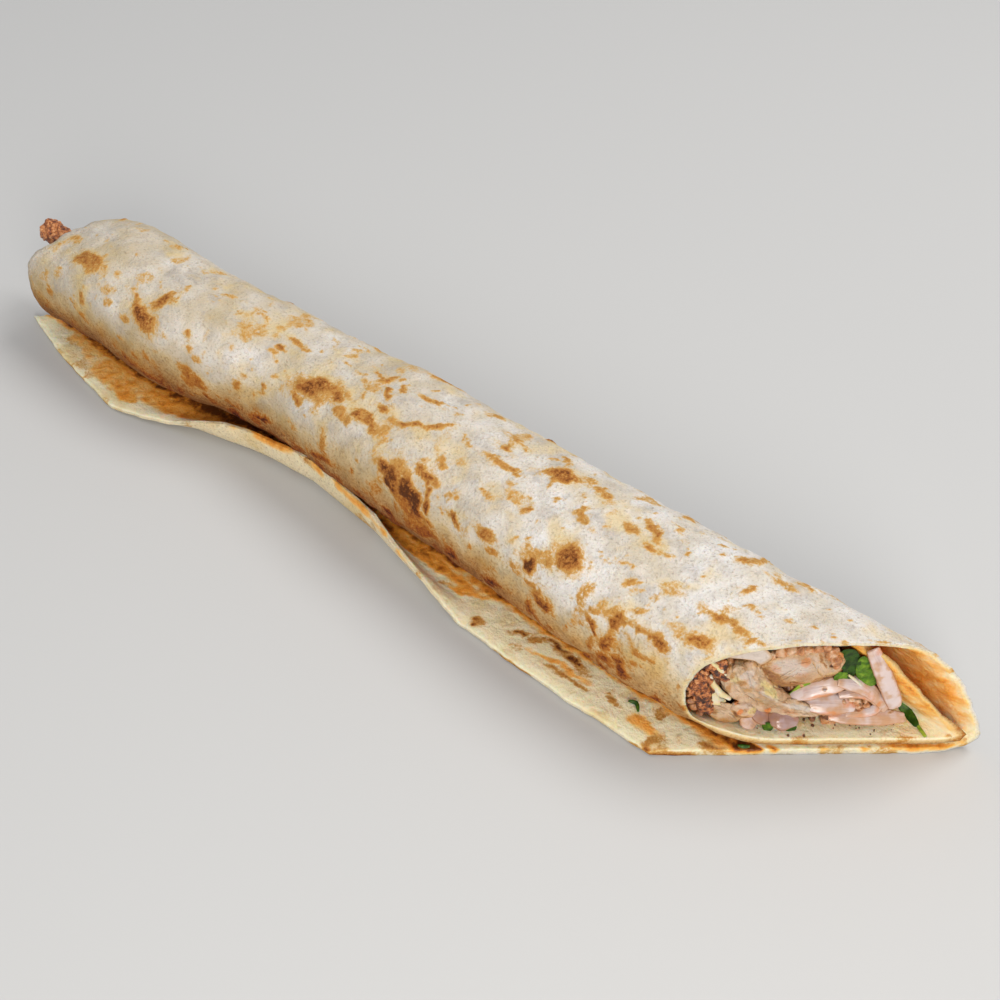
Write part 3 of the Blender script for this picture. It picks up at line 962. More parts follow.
def slab(outline, depth, thick, form, seed, grain=0.0, ruffle=0.0):
    """A flat piece facing the eye inside an outline on the knife plane, its fibres turned by grain degrees.

    A ruffle waves the whole piece by this many millimetres. Gives points, faces and own coordinates, which
    end with the share of the way from the middle to the rim.
    """
    outline = np.array(outline)
    length = np.linalg.norm(outline - np.roll(outline, 1, axis=0), axis=1).sum()
    sides = int(length / PIECE_STEP)
    looped = np.vstack((outline[-1:], outline, outline[:2]))
    rim = smooth_curve(looped, 1.0 + np.linspace(0.0, len(outline), sides, endpoint=False))
    centre = outline.mean(axis=0)
    reach = np.linalg.norm(rim - centre, axis=1).mean()
    edge = min(thick / reach, 0.5)
    turn = np.linspace(0.0, math.pi / 2.0, 7)
    flat = np.linspace(0.0, 1.0 - edge, max(int(reach / PIECE_STEP), 8))[1:-1]
    share = np.concatenate((flat, 1.0 - edge + edge * np.sin(turn)))
    height = np.concatenate((np.ones(len(flat)), np.cos(turn)))
    share = np.concatenate((share, share[::-1][1:]))
    height = np.concatenate((height, -height[::-1][1:]))[:, None]
    seen = centre + share[:, None, None] * (rim - centre)
    c, s = math.cos(math.radians(grain)), math.sin(math.radians(grain))
    run, over = seen[..., 0] * c + seen[..., 1] * s, seen[..., 1] * c - seen[..., 0] * s
    own = np.stack((run, over, np.broadcast_to(height * thick, run.shape)), axis=-1)
    rimward = np.broadcast_to(share[:, None, None], run.shape + (1,))
    grown = swelling(own, form, seed) * np.clip(2.0 * height, -1.0, 1.0)
    wave = ruffle * bumps(np.stack((run, over, 0.0 * run), axis=-1), LEAF_RUFFLE_SIZE, seed)
    points = cut_point(seen[..., 0], seen[..., 1], depth - height * thick - grown + wave)
    own = np.concatenate((own, rimward), axis=-1)
    return with_end_points(points), capped_faces(len(share), sides), with_end_points(own)


def blob(along, up, depth, half, seed):
    """A small lump with its middle at this place."""
    turn = math.radians(RANDOM.uniform(-90.0, 90.0))
    ways = np.array((math.cos(turn), math.sin(turn))) * half * RANDOM.uniform(0.7, 1.3)
    rows = [(along + way * ways[0], up + way * ways[1], depth, half, half) for way in (-1.0, 0.0, 1.0)]
    return strand(placed(rows), RUGGED, seed, step=max(PIECE_STEP, half / 4.0))


def merged(shapes):
    """Several shapes as one."""
    points = np.concatenate([shape[0] for shape in shapes])
    own = np.concatenate([shape[2] for shape in shapes])
    faces, before = [], 0
    for shape_points, shape_faces, _ in shapes:
        faces += [[corner + before for corner in face] for face in shape_faces]
        before += len(shape_points)
    return points, faces, own


def seen_values(points):
    """Browning, sauce, paleness and yellow fat seen at each point of the filling."""
    along, up = seen_at(points)
    ways = [along, up]
    for seed, (size, reach) in enumerate(SEEN_WANDER):
        ways[0] = ways[0] + reach * bumps(points, size, 3.1 + seed)
        ways[1] = ways[1] + reach * bumps(points, size, 17.7 + seed)
    kinds = {"char": CHAR_SEEN, "orange": ORANGE_SEEN, "pale": PALE_SEEN, "yellow": YELLOW_SEEN}
    return {kind: paint_marks(ways, marks)[0] for kind, marks in kinds.items()}


def add_piece(name, shape, material, node=None, shade=None):
    """A piece of the filling, with its own coordinates and what is seen on it as point values."""
    points, faces, own = shape
    values = {"run": own[:, 0], "over": own[:, 1], "out": own[:, 2], "rimward": own[:, 3], **seen_values(points)}
    if shade is not None:
        values["shade"] = np.broadcast_to(shade, len(points))
    made = new_object(name, points, faces, material, values)
    if node:
        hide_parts(node)
    return made


def surface_of(made):
    """A search tree over an object's mesh."""
    corners = [vertex.co for vertex in made.data.vertices]
    return BVHTree.FromPolygons(corners, [face.vertices for face in made.data.polygons])


def depth_on(surface, along, up):
    """How deep behind the knife plane the line of sight through this place meets the surface."""
    start = 60.0
    hit, _, _, distance = surface.ray_cast(Vector(cut_point(along, up, -start)), Vector(SIGHT))
    return distance / MM - start if hit else None


class Shader:
    """A material and short ways to add nodes to it."""

    def __init__(self, name):
        self.material = bpy.data.materials.new(name)
        self.material.use_nodes = True
        self.tree = self.material.node_tree
        self.surface = self.tree.nodes["Principled BSDF"]
        self.place = self.add("ShaderNodeTexCoord").outputs["Object"]

    def add(self, kind, inputs=None, **settings):
        made = self.tree.nodes.new(kind)
        for key, value in settings.items():
            setattr(made, key, value)
        for key, value in (inputs or {}).items():
            self.put(made.inputs[key], value)
        return made

    def put(self, socket, value):
        if isinstance(value, bpy.types.NodeSocket):
            self.tree.links.new(value, socket)
        else:
            socket.default_value = value

    def value(self, name):
        """A point value painted on the mesh."""
        return self.add("ShaderNodeAttribute", attribute_name=name).outputs["Fac"]

    def noise(self, size, detail=2.0, roughness=0.5, seed=0.0):
        """Noise from 0 to 1 with features of this size."""
        inputs = {"Vector": self.place, "Scale": 1.0 / size, "Detail": detail, "Roughness": roughness, "W": seed}
        return self.add("ShaderNodeTexNoise", inputs, noise_dimensions="4D").outputs["Fac"]

    def math(self, operation, *values):
        made = self.add("ShaderNodeMath", operation=operation)
        for socket, value in zip(made.inputs, values):
            self.put(socket, value)
        return made.outputs[0]

    def span(self, value, low, high, to_low=0.0, to_high=1.0):
        """The value mapped smoothly from low..high to to_low..to_high."""
        inputs = {"Value": value, "From Min": low, "From Max": high, "To Min": to_low, "To Max": to_high}
        return self.add("ShaderNodeMapRange", inputs, interpolation_type="SMOOTHSTEP").outputs["Result"]

    def ramp(self, value, stops):
        """A colour for each value, from (value, colour) stops."""
        made = self.add("ShaderNodeValToRGB", {"Fac": value})
        elements = made.color_ramp.elements
        while len(elements) < len(stops):
            elements.new(0.5)
        for element, (position, color) in zip(elements, stops):
            element.position = position
            element.color = (*color, 1.0)
        return made.outputs["Color"]

    def mix(self, share, first, second, blend="MIX"):
        made = self.add("ShaderNodeMix", data_type="RGBA", blend_type=blend)
        self.put(made.inputs["Factor"], share)
        for socket, color in ((made.inputs["A"], first), (made.inputs["B"], second)):
            self.put(socket, (*color, 1.0) if isinstance(color, tuple) else color)
        return made.outputs["Result"]

    def bump(self, height, distance, before=None):
        inputs = {"Height": height, "Distance": distance, "Strength": 1.0}
        if before:
            inputs["Normal"] = before
        return self.add("ShaderNodeBump", inputs).outputs["Normal"]

    def finish(self, **inputs):
        for key, value in inputs.items():
            socket = self.surface.inputs[key.replace("_", " ")]
            self.put(socket, (*value, 1.0) if isinstance(value, tuple) and len(value) == 3 and "Color" in key else value)
        return self.material


# Colours of the bread, linear.
FLOUR = (0.78, 0.745, 0.715)
DOUGH = (0.55, 0.45, 0.30)
DOUGH_ASH = (0.45, 0.405, 0.365)
DOUGH_SHADE = (0.31, 0.235, 0.16)
DOUGH_YELLOW = (0.72, 0.54, 0.24)
CREAM = (0.90, 0.785, 0.55)
TOAST_STOPS = (
    (0.00, (0.72, 0.60, 0.40)), (0.18, (0.67, 0.46, 0.19)), (0.40, (0.55, 0.285, 0.070)),
    (0.62, (0.41, 0.160, 0.030)), (0.82, (0.23, 0.068, 0.009)), (1.00, (0.10, 0.028, 0.004)),
)
WARM_STOPS = (
    (0.00, (1.0, 1.0, 1.0)), (0.25, (0.90, 0.76, 0.51)), (0.55, (0.74, 0.50, 0.23)), (0.82, (0.55, 0.28, 0.09)),
    (1.00, (0.36, 0.15, 0.045)),
)
SAUCE_STOPS = (
    (0.00, (0.88, 0.68, 0.38)), (0.30, (0.92, 0.54, 0.17)), (0.60, (0.86, 0.34, 0.045)), (0.85, (0.44, 0.14, 0.016)),
    (1.00, (0.16, 0.045, 0.008)),
)


def bread_material():
    shader = Shader("floury_bread")
    toast, sauce, warm = shader.value("toast"), shader.value("sauce"), shader.value("warm")
    grain = shader.noise(0.0009, detail=3.0, roughness=0.7)
    mottle = shader.noise(0.0030, detail=3.0, roughness=0.6, seed=2.0)
    cloud = shader.noise(0.0110, detail=3.0, seed=5.0)
    base = shader.mix(shader.value("flour"), DOUGH, FLOUR)
    ash = shader.noise(0.0070, detail=4.0, roughness=0.65, seed=9.0)
    base = shader.mix(shader.span(ash, 0.48, 0.70, 0.0, 0.7), base, DOUGH_ASH)
    base = shader.mix(shader.math("MAXIMUM", shader.value("inside"), shader.value("lip")), base, CREAM)
    base = shader.mix(shader.span(cloud, 0.50, 0.70, 0.0, 0.65), base, DOUGH_YELLOW)
    smooth = shader.math("MULTIPLY_ADD", shader.value("inside"), -0.72, 1.0)
    base = shader.mix(shader.math("MULTIPLY", smooth, shader.span(grain, 0.50, 0.76, 0.0, 0.78)), base, DOUGH_SHADE)
    uneven = shader.math("MULTIPLY_ADD", shader.math("SUBTRACT", mottle, 0.5), 1.7, 1.0)
    gritty = shader.math("MULTIPLY_ADD", shader.math("SUBTRACT", grain, 0.5), 1.9, uneven)
    brown = shader.math("MULTIPLY", toast, gritty)
    color = shader.mix(shader.span(brown, 0.12, 0.36), base, shader.ramp(brown, TOAST_STOPS))
    golden = shader.math("MULTIPLY", warm, shader.span(grain, 0.3, 0.7, 0.8, 1.15))
    color = shader.mix(1.0, color, shader.ramp(golden, WARM_STOPS), "MULTIPLY")
    wet = shader.math("MULTIPLY", sauce, uneven)
    color = shader.mix(shader.span(wet, 0.04, 0.45), color, shader.ramp(wet, SAUCE_STOPS))
    pits = shader.bump(shader.math("MULTIPLY", grain, smooth), 0.0008)
    normal = shader.bump(mottle, 0.0011, pits)
    rough = shader.span(wet, 0.1, 0.7, 0.88, 0.42)
    glow = shader.math("MULTIPLY_ADD", shader.value("inside"), 0.45, 0.22)
    return shader.finish(Base_Color=color, Roughness=rough, Normal=normal, Specular_IOR_Level=0.3, Subsurface_Weight=glow,
                         Subsurface_Scale=0.004, Subsurface_Radius=(1.0, 0.6, 0.35))


# Colours of the filling, linear.
CHICKEN = (0.47, 0.27, 0.135)
CHICKEN_PALE = (0.66, 0.465, 0.31)
WHITE_MEAT = (0.638, 0.521, 0.445)
FAT_YELLOW = (0.689, 0.521, 0.218)
CHAR_STOPS = (
    (0.00, (0.62, 0.40, 0.20)), (0.45, (0.50, 0.25, 0.08)), (0.75, (0.24, 0.085, 0.03)), (1.00, (0.07, 0.022, 0.012)),
)
SAUCE_ORANGE = (0.66, 0.21, 0.04)
GOLDEN = (0.60, 0.33, 0.12)
CRUST_STOPS = (
    (0.00, (0.02, 0.007, 0.004)), (0.30, (0.09, 0.024, 0.009)), (0.50, (0.28, 0.075, 0.020)), (0.72, (0.56, 0.19, 0.05)),
    (1.00, (0.72, 0.40, 0.19)),
)
ONION = (0.56, 0.32, 0.18)
ONION_PALE = (0.68, 0.56, 0.54)
ONION_LILAC = (0.359, 0.228, 0.252)
ONION_EDGE = (0.45, 0.20, 0.085)
NO_TINT = (1.0, 1.0, 1.0)
DEEP_TINT = (0.66, 0.58, 0.60)
FAT = (0.738, 0.612, 0.324)
FAT_WHITE = (0.72, 0.648, 0.522)
TONGUE = (0.594, 0.504, 0.441)
CORE_STOPS = (
    (0.00, (0.020, 0.008, 0.005)), (0.50, (0.075, 0.026, 0.012)), (0.75, (0.22, 0.08, 0.03)), (1.00, (0.45, 0.24, 0.12)),
)
SCRAP_STOPS = (
    (0.00, (0.07, 0.025, 0.012)), (0.35, (0.26, 0.10, 0.04)), (0.60, (0.52, 0.22, 0.08)), (1.00, (0.68, 0.48, 0.32)),
)
LEAF_STOPS = (
    (0.00, (0.010, 0.030, 0.002)), (0.35, (0.030, 0.085, 0.004)), (0.70, (0.12, 0.24, 0.010)), (1.00, (0.34, 0.42, 0.04)),
)
SPICE = (0.06, 0.030, 0.016)


def streaks(shader, stretch, fine, seed=0.0):
    """Noise drawn out along a piece, from its own coordinates in millimetres."""
    inputs = {
        "X": shader.math("DIVIDE", shader.value("run"), stretch),
        "Y": shader.math("DIVIDE", shader.value("over"), fine),
        "Z": shader.math("DIVIDE", shader.value("out"), fine),
    }
    place = shader.add("ShaderNodeCombineXYZ", inputs).outputs["Vector"]
    inputs = {"Vector": place, "Scale": 1.0, "Detail": 3.0, "Roughness": 0.6, "W": seed}
    return shader.add("ShaderNodeTexNoise", inputs, noise_dimensions="4D").outputs["Fac"]


def uneven_value(shader, name, grain, amount=1.2):
    """A painted value broken up by noise."""
    factor = shader.math("MULTIPLY_ADD", shader.math("SUBTRACT", grain, 0.5), amount, 1.0)
    return shader.math("MULTIPLY", shader.value(name), factor)


def chicken_material():
    shader = Shader("chicken")
    fibre = streaks(shader, 5.0, 0.8)
    patch = shader.noise(0.0045, detail=3.0, seed=3.0)
    grain = shader.noise(0.0012, detail=3.0, roughness=0.6, seed=6.0)
    color = shader.mix(shader.span(patch, 0.35, 0.65), CHICKEN, CHICKEN_PALE)
    color = shader.mix(shader.span(fibre, 0.52, 0.80, 0.0, 0.40), color, WHITE_MEAT)
    color = shader.mix(shader.span(fibre, 0.46, 0.24, 0.0, 0.45), color, CHICKEN)
    color = shader.mix(shader.span(uneven_value(shader, "pale", grain), 0.1, 1.0, 0.0, 0.9), color, WHITE_MEAT)
    color = shader.mix(shader.span(uneven_value(shader, "yellow", grain), 0.1, 0.8, 0.0, 0.85), color, FAT_YELLOW)
    golden = shader.math("MULTIPLY", shader.span(shader.value("rimward"), 0.62, 1.0, 0.0, 0.90), shader.span(patch, 0.25, 0.55))
    color = shader.mix(golden, color, GOLDEN)
    rim = shader.span(shader.value("rimward"), 0.80, 1.0, 0.0, 0.60)
    char = uneven_value(shader, "char", grain, 0.8)
    char = shader.math("MAXIMUM", char, shader.math("MULTIPLY", rim, shader.span(patch, 0.3, 0.6, 0.3, 1.3)))
    color = shader.mix(shader.span(char, 0.05, 0.60), color, shader.ramp(char, CHAR_STOPS))
    orange = uneven_value(shader, "orange", grain)
    color = shader.mix(shader.span(orange, 0.1, 0.8, 0.0, 0.9), color, SAUCE_ORANGE)
    normal = shader.bump(grain, 0.0009, shader.bump(fibre, 0.0006))
    return shader.finish(Base_Color=color, Roughness=0.34, Normal=normal, Subsurface_Weight=0.25,
                         Subsurface_Scale=0.0025, Subsurface_Radius=(1.0, 0.5, 0.3))


def onion_material(name, tint):
    """Onion stained by the meat, darkened by a tint."""
    shader = Shader(name)
    fibre = streaks(shader, 14.0, 1.3)
    patch = shader.noise(0.0050, detail=2.0, seed=8.0)
    grain = shader.noise(0.0012, detail=2.0, seed=2.0)
    color = shader.mix(shader.span(patch, 0.36, 0.68), ONION, ONION_PALE)
    color = shader.mix(shader.span(fibre, 0.48, 0.74, 0.0, 0.42), color, ONION_LILAC)
    color = shader.mix(shader.span(uneven_value(shader, "pale", grain), 0.1, 0.9, 0.0, 0.9), color, ONION_PALE)
    char = uneven_value(shader, "char", grain)
    color = shader.mix(shader.span(char, 0.2, 0.7, 0.0, 0.9), color, shader.ramp(char, CHAR_STOPS))
    orange = uneven_value(shader, "orange", grain)
    color = shader.mix(shader.span(orange, 0.1, 0.9, 0.0, 0.85), color, SAUCE_ORANGE)
    edge = shader.span(shader.value("rimward"), 0.78, 1.0, 0.0, 0.85)
    color = shader.mix(1.0, shader.mix(edge, color, ONION_EDGE), tint, "MULTIPLY")
    normal = shader.bump(fibre, 0.0003)
    return shader.finish(Base_Color=color, Roughness=0.22, Normal=normal, Subsurface_Weight=0.15,
                         Subsurface_Scale=0.002, Subsurface_Radius=(1.0, 0.7, 0.6))


def crust_material(name, lift):
    """Browned, lumpy meat, made lighter by a lift."""
    shader = Shader(name)
    grain = shader.noise(0.0016, detail=4.0, roughness=0.65, seed=4.0)
    fibre = streaks(shader, 2.5, 0.8)
    orange = uneven_value(shader, "orange", grain)
    tone = shader.math("MULTIPLY_ADD", orange, 0.25, shader.span(grain, 0.32, 0.66, lift, 0.85 + 0.3 * lift))
    color = shader.ramp(tone, CRUST_STOPS)
    color = shader.mix(shader.span(fibre, 0.62, 0.85, 0.0, 0.45), color, CHICKEN)
    normal = shader.bump(grain, 0.0011)
    return shader.finish(Base_Color=color, Roughness=0.38, Normal=normal)


def fat_material():
    shader = Shader("fat")
    fibre = streaks(shader, 4.0, 0.6)
    patch = shader.noise(0.0030, detail=2.0, seed=8.0)
    color = shader.mix(shader.span(patch, 0.4, 0.6), FAT, FAT_WHITE)
    color = shader.mix(shader.span(fibre, 0.6, 0.8, 0.0, 0.4), color, CHICKEN)
    return shader.finish(Base_Color=color, Roughness=0.30, Normal=shader.bump(fibre, 0.0003),
                         Subsurface_Weight=0.2, Subsurface_Scale=0.002)


def tongue_material():
    shader = Shader("tongue")
    grain = shader.noise(0.0012, detail=3.0, roughness=0.6, seed=6.0)
    color = shader.mix(shader.span(shader.value("rimward"), 0.7, 1.0, 0.0, 0.7), TONGUE, TOAST_STOPS[2][1])
    color = shader.mix(shader.span(grain, 0.5, 0.8, 0.0, 0.5), color, DOUGH_SHADE)
    return shader.finish(Base_Color=color, Roughness=0.7, Normal=shader.bump(grain, 0.0005))


def core_material():
    shader = Shader("core")
    patch = shader.noise(0.0028, detail=4.0, roughness=0.6, seed=4.0)
    color = shader.ramp(shader.span(patch, 0.34, 0.74), CORE_STOPS)
    return shader.finish(Base_Color=color, Roughness=0.45, Normal=shader.bump(patch, 0.0015))


def scrap_material():
    shader = Shader("scraps")
    patch = shader.noise(0.0022, detail=3.0, roughness=0.6, seed=7.0)
    tone = shader.math("ADD", shader.value("shade"), shader.span(patch, 0.3, 0.7, -0.25, 0.25))
    color = shader.ramp(tone, SCRAP_STOPS)
    return shader.finish(Base_Color=color, Roughness=0.35, Normal=shader.bump(patch, 0.0010),
                         Subsurface_Weight=0.1, Subsurface_Scale=0.002)


def leaf_material():
    shader = Shader("parsley")
    patch = shader.noise(0.0020, detail=3.0, seed=5.0)
    tone = shader.math("ADD", shader.value("shade"), shader.span(patch, 0.3, 0.7, -0.2, 0.2))
    color = shader.ramp(tone, LEAF_STOPS)
    return shader.finish(Base_Color=color, Roughness=0.45, Specular_IOR_Level=0.25, Normal=shader.bump(patch, 0.0005),
                         Subsurface_Weight=0.1, Subsurface_Scale=0.001)


def spice_material():
    shader = Shader("spice")
    patch = shader.noise(0.0006, detail=2.0, seed=5.0)
    color = shader.mix(patch, SPICE, CHAR_STOPS[2][1])
    return shader.finish(Base_Color=color, Roughness=0.6)


def make_core(material):
    """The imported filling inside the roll, cut parallel to the knife, which shows dark between the pieces."""
    share = np.linspace(0.0, 1.0, CORE_RINGS)[:, None]
    looped = np.vstack((CORE_SECTION[-1:], CORE_SECTION, CORE_SECTION[:2]))
    ring = smooth_curve(looped, 1.0 + np.linspace(0.0, len(CORE_SECTION), CORE_SIDES, endpoint=False))
    centre = CORE_SECTION.mean(axis=0)
    from_end = np.clip(np.minimum(share, 1.0 - share) / CORE_ROUND, 0.0, 1.0)
    close = np.sqrt(1.0 - (1.0 - from_end) ** 2)
    across = centre[0] + (ring[:, 0] - centre[0]) * close
    up = centre[1] + (ring[:, 1] - centre[1]) * close
    x = CORE_BACK + share * (knife_x(across) - CORE_SHORT_OF_KNIFE - CORE_BACK)
    points = warp(x, across, up)
    away = unit(points - points.mean(axis=1, keepdims=True) + 1e-9)
    points = points + away * sum(height * bumps(points, size, 33.0) for size, height in CORE_LUMPS)[..., None]
    forward = sum(height * bumps(points, size, 71.0) for size, height in CORE_FRONT_LUMPS)
    points[..., 0] += forward * (1.0 - from_end)
    core = new_object("core", with_end_points(points) + DESIGN_SHIFT, capped_faces(CORE_RINGS, CORE_SIDES),
                      material)
    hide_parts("filling")


def frayed_tip():
    """Torn ends of the chicken strip, as thin shreds."""
    shapes = []
    for number in range(FRAY_COUNT):
        start = [RANDOM.uniform(*span) for span in FRAY_FROM]
        end = [RANDOM.uniform(*span) for span in FRAY_TO]
        half = RANDOM.uniform(0.25, 0.55)
        middle = [(a + b) / 2.0 + RANDOM.uniform(-0.4, 0.4) for a, b in zip(start, end)]
        rows = ((*start, 1.6, half, half), (*middle, 1.0, half, half), (*end, 1.2, half * 0.5, half * 0.5))
        shapes.append(strand(placed(rows), FLESH, 40.0 + number, step=0.2))
    return merged(shapes)


def shreds():
    """Thin shreds lying on the torn faces of the chicken."""
    shapes = []
    for number in range(SHRED_COUNT):
        along, up, turn, spread, depth = SHRED_PLACES[number % len(SHRED_PLACES)]
        along, up = along + RANDOM.uniform(-spread, spread), up + RANDOM.uniform(-spread, spread)
        turn = math.radians(turn + RANDOM.normal(0.0, 14.0))
        reach = RANDOM.uniform(*SHRED_LENGTH) / 2.0
        half = RANDOM.uniform(*SHRED_HALF)
        rows = []
        for way in (-1.0, 0.0, 1.0):
            bend = RANDOM.uniform(-0.4, 0.4)
            rows.append((along + way * reach * math.cos(turn), up + way * reach * math.sin(turn) + bend,
                         depth + 0.3 * abs(way), half, half))
        shapes.append(strand(placed(rows), FLESH, 60.0 + number, step=0.2))
    return merged(shapes)


def scraps():
    """Small bits of the filling packed behind the large pieces, with a shade for each."""
    shapes, shades = [], []
    for number in range(SCRAP_COUNT):
        up = RANDOM.uniform(SCRAP_ROWS[0][0], SCRAP_ROWS[-1][0])
        first, last = (np.interp(up, *np.array(SCRAP_ROWS).T[[0, column]]) for column in (1, 2))
        along = RANDOM.uniform(first, last)
        half = RANDOM.uniform(*SCRAP_HALF)
        shapes.append(blob(along, up, RANDOM.uniform(*SCRAP_DEPTH), half, 100.0 + number))
        shades.append(np.full(len(shapes[-1][0]), RANDOM.uniform(0.05, 0.75)))
    return merged(shapes), np.concatenate(shades)


def lumps(places, shade, seed):
    """Lumps at (along, up, depth, half size), each with its own shade near the given one."""
    shapes = [blob(*place, seed + number) for number, place in enumerate(places)]
    shades = [np.full(len(shape[0]), shade + RANDOM.uniform(-0.15, 0.15)) for shape in shapes]
    return merged(shapes), np.concatenate(shades)


def spice(surface):
    """Grains of spice lying on the bread inside the mouth."""
    places = list(SPICE_PLACES)
    for _ in range(SPICE_COUNT):
        places.append((RANDOM.uniform(*SPICE_SPAN[0]), RANDOM.uniform(*SPICE_SPAN[1]), RANDOM.uniform(*SPICE_HALF)))
    shapes = []
    for number, (along, up, half) in enumerate(places):
        depth = depth_on(surface, along, up)
        if depth is not None:
            shapes.append(blob(along, up, depth, half, 300.0 + number))
    return merged(shapes)


def on_wall(surface, places, lift, thick, seed):
    """A long thin piece that follows the bread behind it, this far off it, in millimetres."""
    rows = [(along, up, depth_on(surface, along, up) - lift, half, thick) for along, up, half in places]
    return strand(placed(rows), LEAFY, seed)


def make_mouth(surface):
    """The pieces that show at the cut."""
    chicken, crust, fat = chicken_material(), crust_material("crust", 0.0), fat_material()
    onion, deep_onion = onion_material("onion", NO_TINT), onion_material("deep_onion", DEEP_TINT)
    scrap, leaf = scrap_material(), leaf_material()
    for name, rows, form, cup, material, slot, node in (
        ("cream_lump", CREAM_LUMP, FLESH, 0.0, chicken, "chicken", None),
        ("crust_look", CRUST, RUGGED, 0.0, crust, "crust", "crust_end"),
        ("crust_top", CRUST_TOP, RUGGED, 0.0, crust, "crust", None),
        ("dark_meat", DARK_MEAT, FLESH, 0.0, crust, "crust", None),
        ("pale_streak", PALE_STREAK, FATTY, 0.0, fat, "meat", None),
        ("fat_strip", FAT_STRIP, FATTY, 0.0, fat, "meat", None),
        ("fat_band", FAT_BAND, FATTY, 0.0, fat, "meat", None),
        ("orange_strip", ORANGE_STRIP, FLESH, 0.0, onion, "onion", None),
        ("onion_strip_look", ONION_STRIP, SLICK, 0.12, onion, "onion", "onion_strip"),
        ("onion_arch_look", ONION_ARCH, SLICK, 0.12, onion, "onion", "onion_arch"),
        ("onion_ring_look", ONION_RING, SLICK, 0.10, onion, "onion", "onion_ring"),
        ("onion_leaf", ONION_LEAF, SLICK, 0.10, onion, "onion", None),
        ("onion_standing_look", ONION_STANDING, SLICK, 0.12, onion, "onion", "onion_standing"),
        ("onion_bed_look", ONION_BED, SLICK, 0.06, onion, "onion", "onion_bed"),
        ("onion_low_look", ONION_LOW, SLICK, 0.06, deep_onion, "onion", "onion_low"),
        ("onion_low_left", ONION_LOW_LEFT, SLICK, 0.06, deep_onion, "onion", None),
        ("onion_under", ONION_UNDER, SLICK, 0.06, onion, "onion", None),
    ):
        add_piece(name, strand(placed(rows), form, float(len(name)), cup), material, node)
    add_piece("chicken_strip_look", fibrous(CHICKEN_STRIP, 5, 80.0), chicken, "chicken_strip")
    add_piece("chicken_slice_look", slab(SLICE_OUTLINE, 6.0, 1.6, SLICED, 2.0, grain=20.0), chicken,
              "chicken_slice")
    add_piece("chicken_slice_back_look", slab(BACK_SLICE_OUTLINE, 5.4, 1.6, SLICED, 3.0, grain=-60.0), chicken,
              "chicken_slice_back")
    add_piece("meat_chunk_look", slab(CHUNK_OUTLINE, 5.0, 2.2, SLICED, 6.0, grain=-20.0), chicken, "meat_chunk")
    add_piece("frayed_tip", frayed_tip(), chicken)
    add_piece("shreds", shreds(), chicken)
    shape, shades = scraps()
    add_piece("scraps", shape, scrap, shade=shades)
    shape, shades = lumps(ROOF_LUMPS, 0.65, 500.0)
    add_piece("roof_lumps", shape, scrap, shade=shades)
    shape, shades = lumps(LEFT_CRUMBS, 0.42, 540.0)
    add_piece("left_crumbs", shape, scrap, shade=shades)
    shape, shades = lumps(RING_CRUMBS, 0.72, 520.0)
    add_piece("ring_crumbs", shape, scrap, shade=shades)
    for number, (outline, depth, shade) in enumerate(LEAVES):
        shape = slab(outline, depth, 0.25, LEAFY, 30.0 + number, ruffle=LEAF_RUFFLE)
        add_piece(f"leaf_{number}", shape, leaf, shade=shade)
    add_piece("pale_stem", strand(placed(PALE_STEM), FATTY, 37.0), fat)
    add_piece("wall_stem", on_wall(surface, WALL_STEM, 0.4, 0.5, 38.0), leaf, shade=0.95)
    add_piece("wall_leaf", on_wall(surface, WALL_LEAF, 0.7, 0.3, 39.0), leaf, shade=0.30)
    add_piece("spice", spice(surface), spice_material())
    add_piece("bread_tongue", slab(TONGUE_OUTLINE, 2.6, 0.55, FATTY, 46.0, ruffle=0.9), tongue_material())


def on_flap(along, around):
    """The point of the flat flap's upper side at these sheet coordinates, in millimetres."""
    x = along * MM
    y = centre_line(x) + (around * MM - FLAP_ROOT) * girth(x)
    return np.array((x, y, 2.0 * HALF_THICKNESS + HERB_HALF)) + DESIGN_SHIFT


def make_herbs(material):
    """Shreds of parsley on the flap and on the base under the mouth."""
    shapes = []
    for number, places in enumerate(HERBS):
        rows = [(*on_flap(*place), HERB_HALF * (1.0 - abs(at - 1.0) / 2.0), HERB_HALF / 2.0) for at, place in enumerate(places)]
        shapes.append(strand(rows, LEAFY, 50.0 + number, step=0.2))
    add_piece("herbs", merged(shapes), material, shade=0.35)


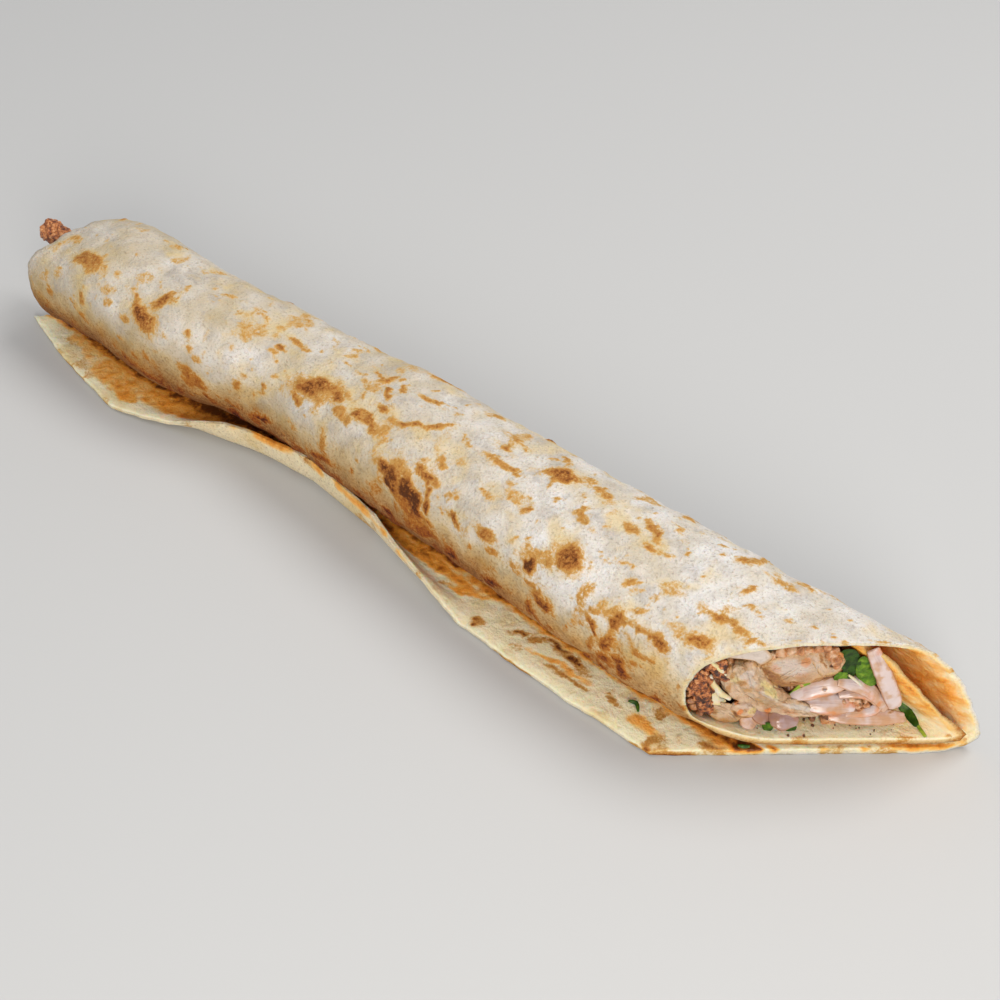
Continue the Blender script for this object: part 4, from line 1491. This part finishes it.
def make_tip(material):
    """The browned end of meat that sticks out of the far end."""
    add_piece("meat_tip_look", strand(TIP_ROWS + (*DESIGN_SHIFT, 0.0, 0.0), RUGGED, 45.0), material, "meat_tip")


def add_camera():
    data = bpy.data.cameras.new("camera")
    data.lens = CAMERA_LENS
    data.shift_y = CAMERA_SHIFT_UP
    camera = bpy.data.objects.new("camera", data)
    bpy.context.scene.collection.objects.link(camera)
    turn = Matrix.Rotation(math.radians(CAMERA_AZIMUTH), 4, "Z")
    tilt = Matrix.Rotation(math.radians(90.0 - CAMERA_ELEVATION), 4, "X")
    roll = Matrix.Rotation(math.radians(CAMERA_ROLL), 4, "Z")
    camera.matrix_world = Matrix.Translation(CAMERA_PLACE) @ turn @ tilt @ roll
    bpy.context.scene.camera = camera


def add_lights():
    for name, (place, size, power, color) in LIGHTS.items():
        data = bpy.data.lights.new(name, "AREA")
        data.shape = "DISK"
        data.size = size
        data.energy = power
        data.color = color
        light = bpy.data.objects.new(name, data)
        light.location = place
        light.rotation_euler = Vector(place).to_track_quat("Z", "Y").to_euler()
        bpy.context.scene.collection.objects.link(light)
    world = bpy.data.worlds.new("studio")
    world.use_nodes = True
    background = world.node_tree.nodes["Background"]
    background.inputs["Color"].default_value = (*WORLD_COLOR, 1.0)
    background.inputs["Strength"].default_value = WORLD_STRENGTH
    bpy.context.scene.world = world
    bpy.context.scene.view_settings.view_transform = "Standard"


def add_floor():
    shape = bmesh.new()
    bmesh.ops.create_grid(shape, x_segments=1, y_segments=1, size=FLOOR_SIZE / 2)
    mesh = bpy.data.meshes.new("floor")
    shape.to_mesh(mesh)
    shape.free()
    floor = bpy.data.objects.new("floor", mesh)
    material = bpy.data.materials.new("floor")
    material.use_nodes = True
    surface = material.node_tree.nodes["Principled BSDF"]
    surface.inputs["Base Color"].default_value = (*FLOOR_COLOR, 1.0)
    surface.inputs["Roughness"].default_value = 0.8
    mesh.materials.append(material)
    bpy.context.scene.collection.objects.link(floor)


add_camera()
add_lights()
add_floor()
bread = make_bread(bread_material())
make_core(core_material())
make_mouth(surface_of(bread))
make_herbs(leaf_material())
make_tip(crust_material("tip", 0.26))
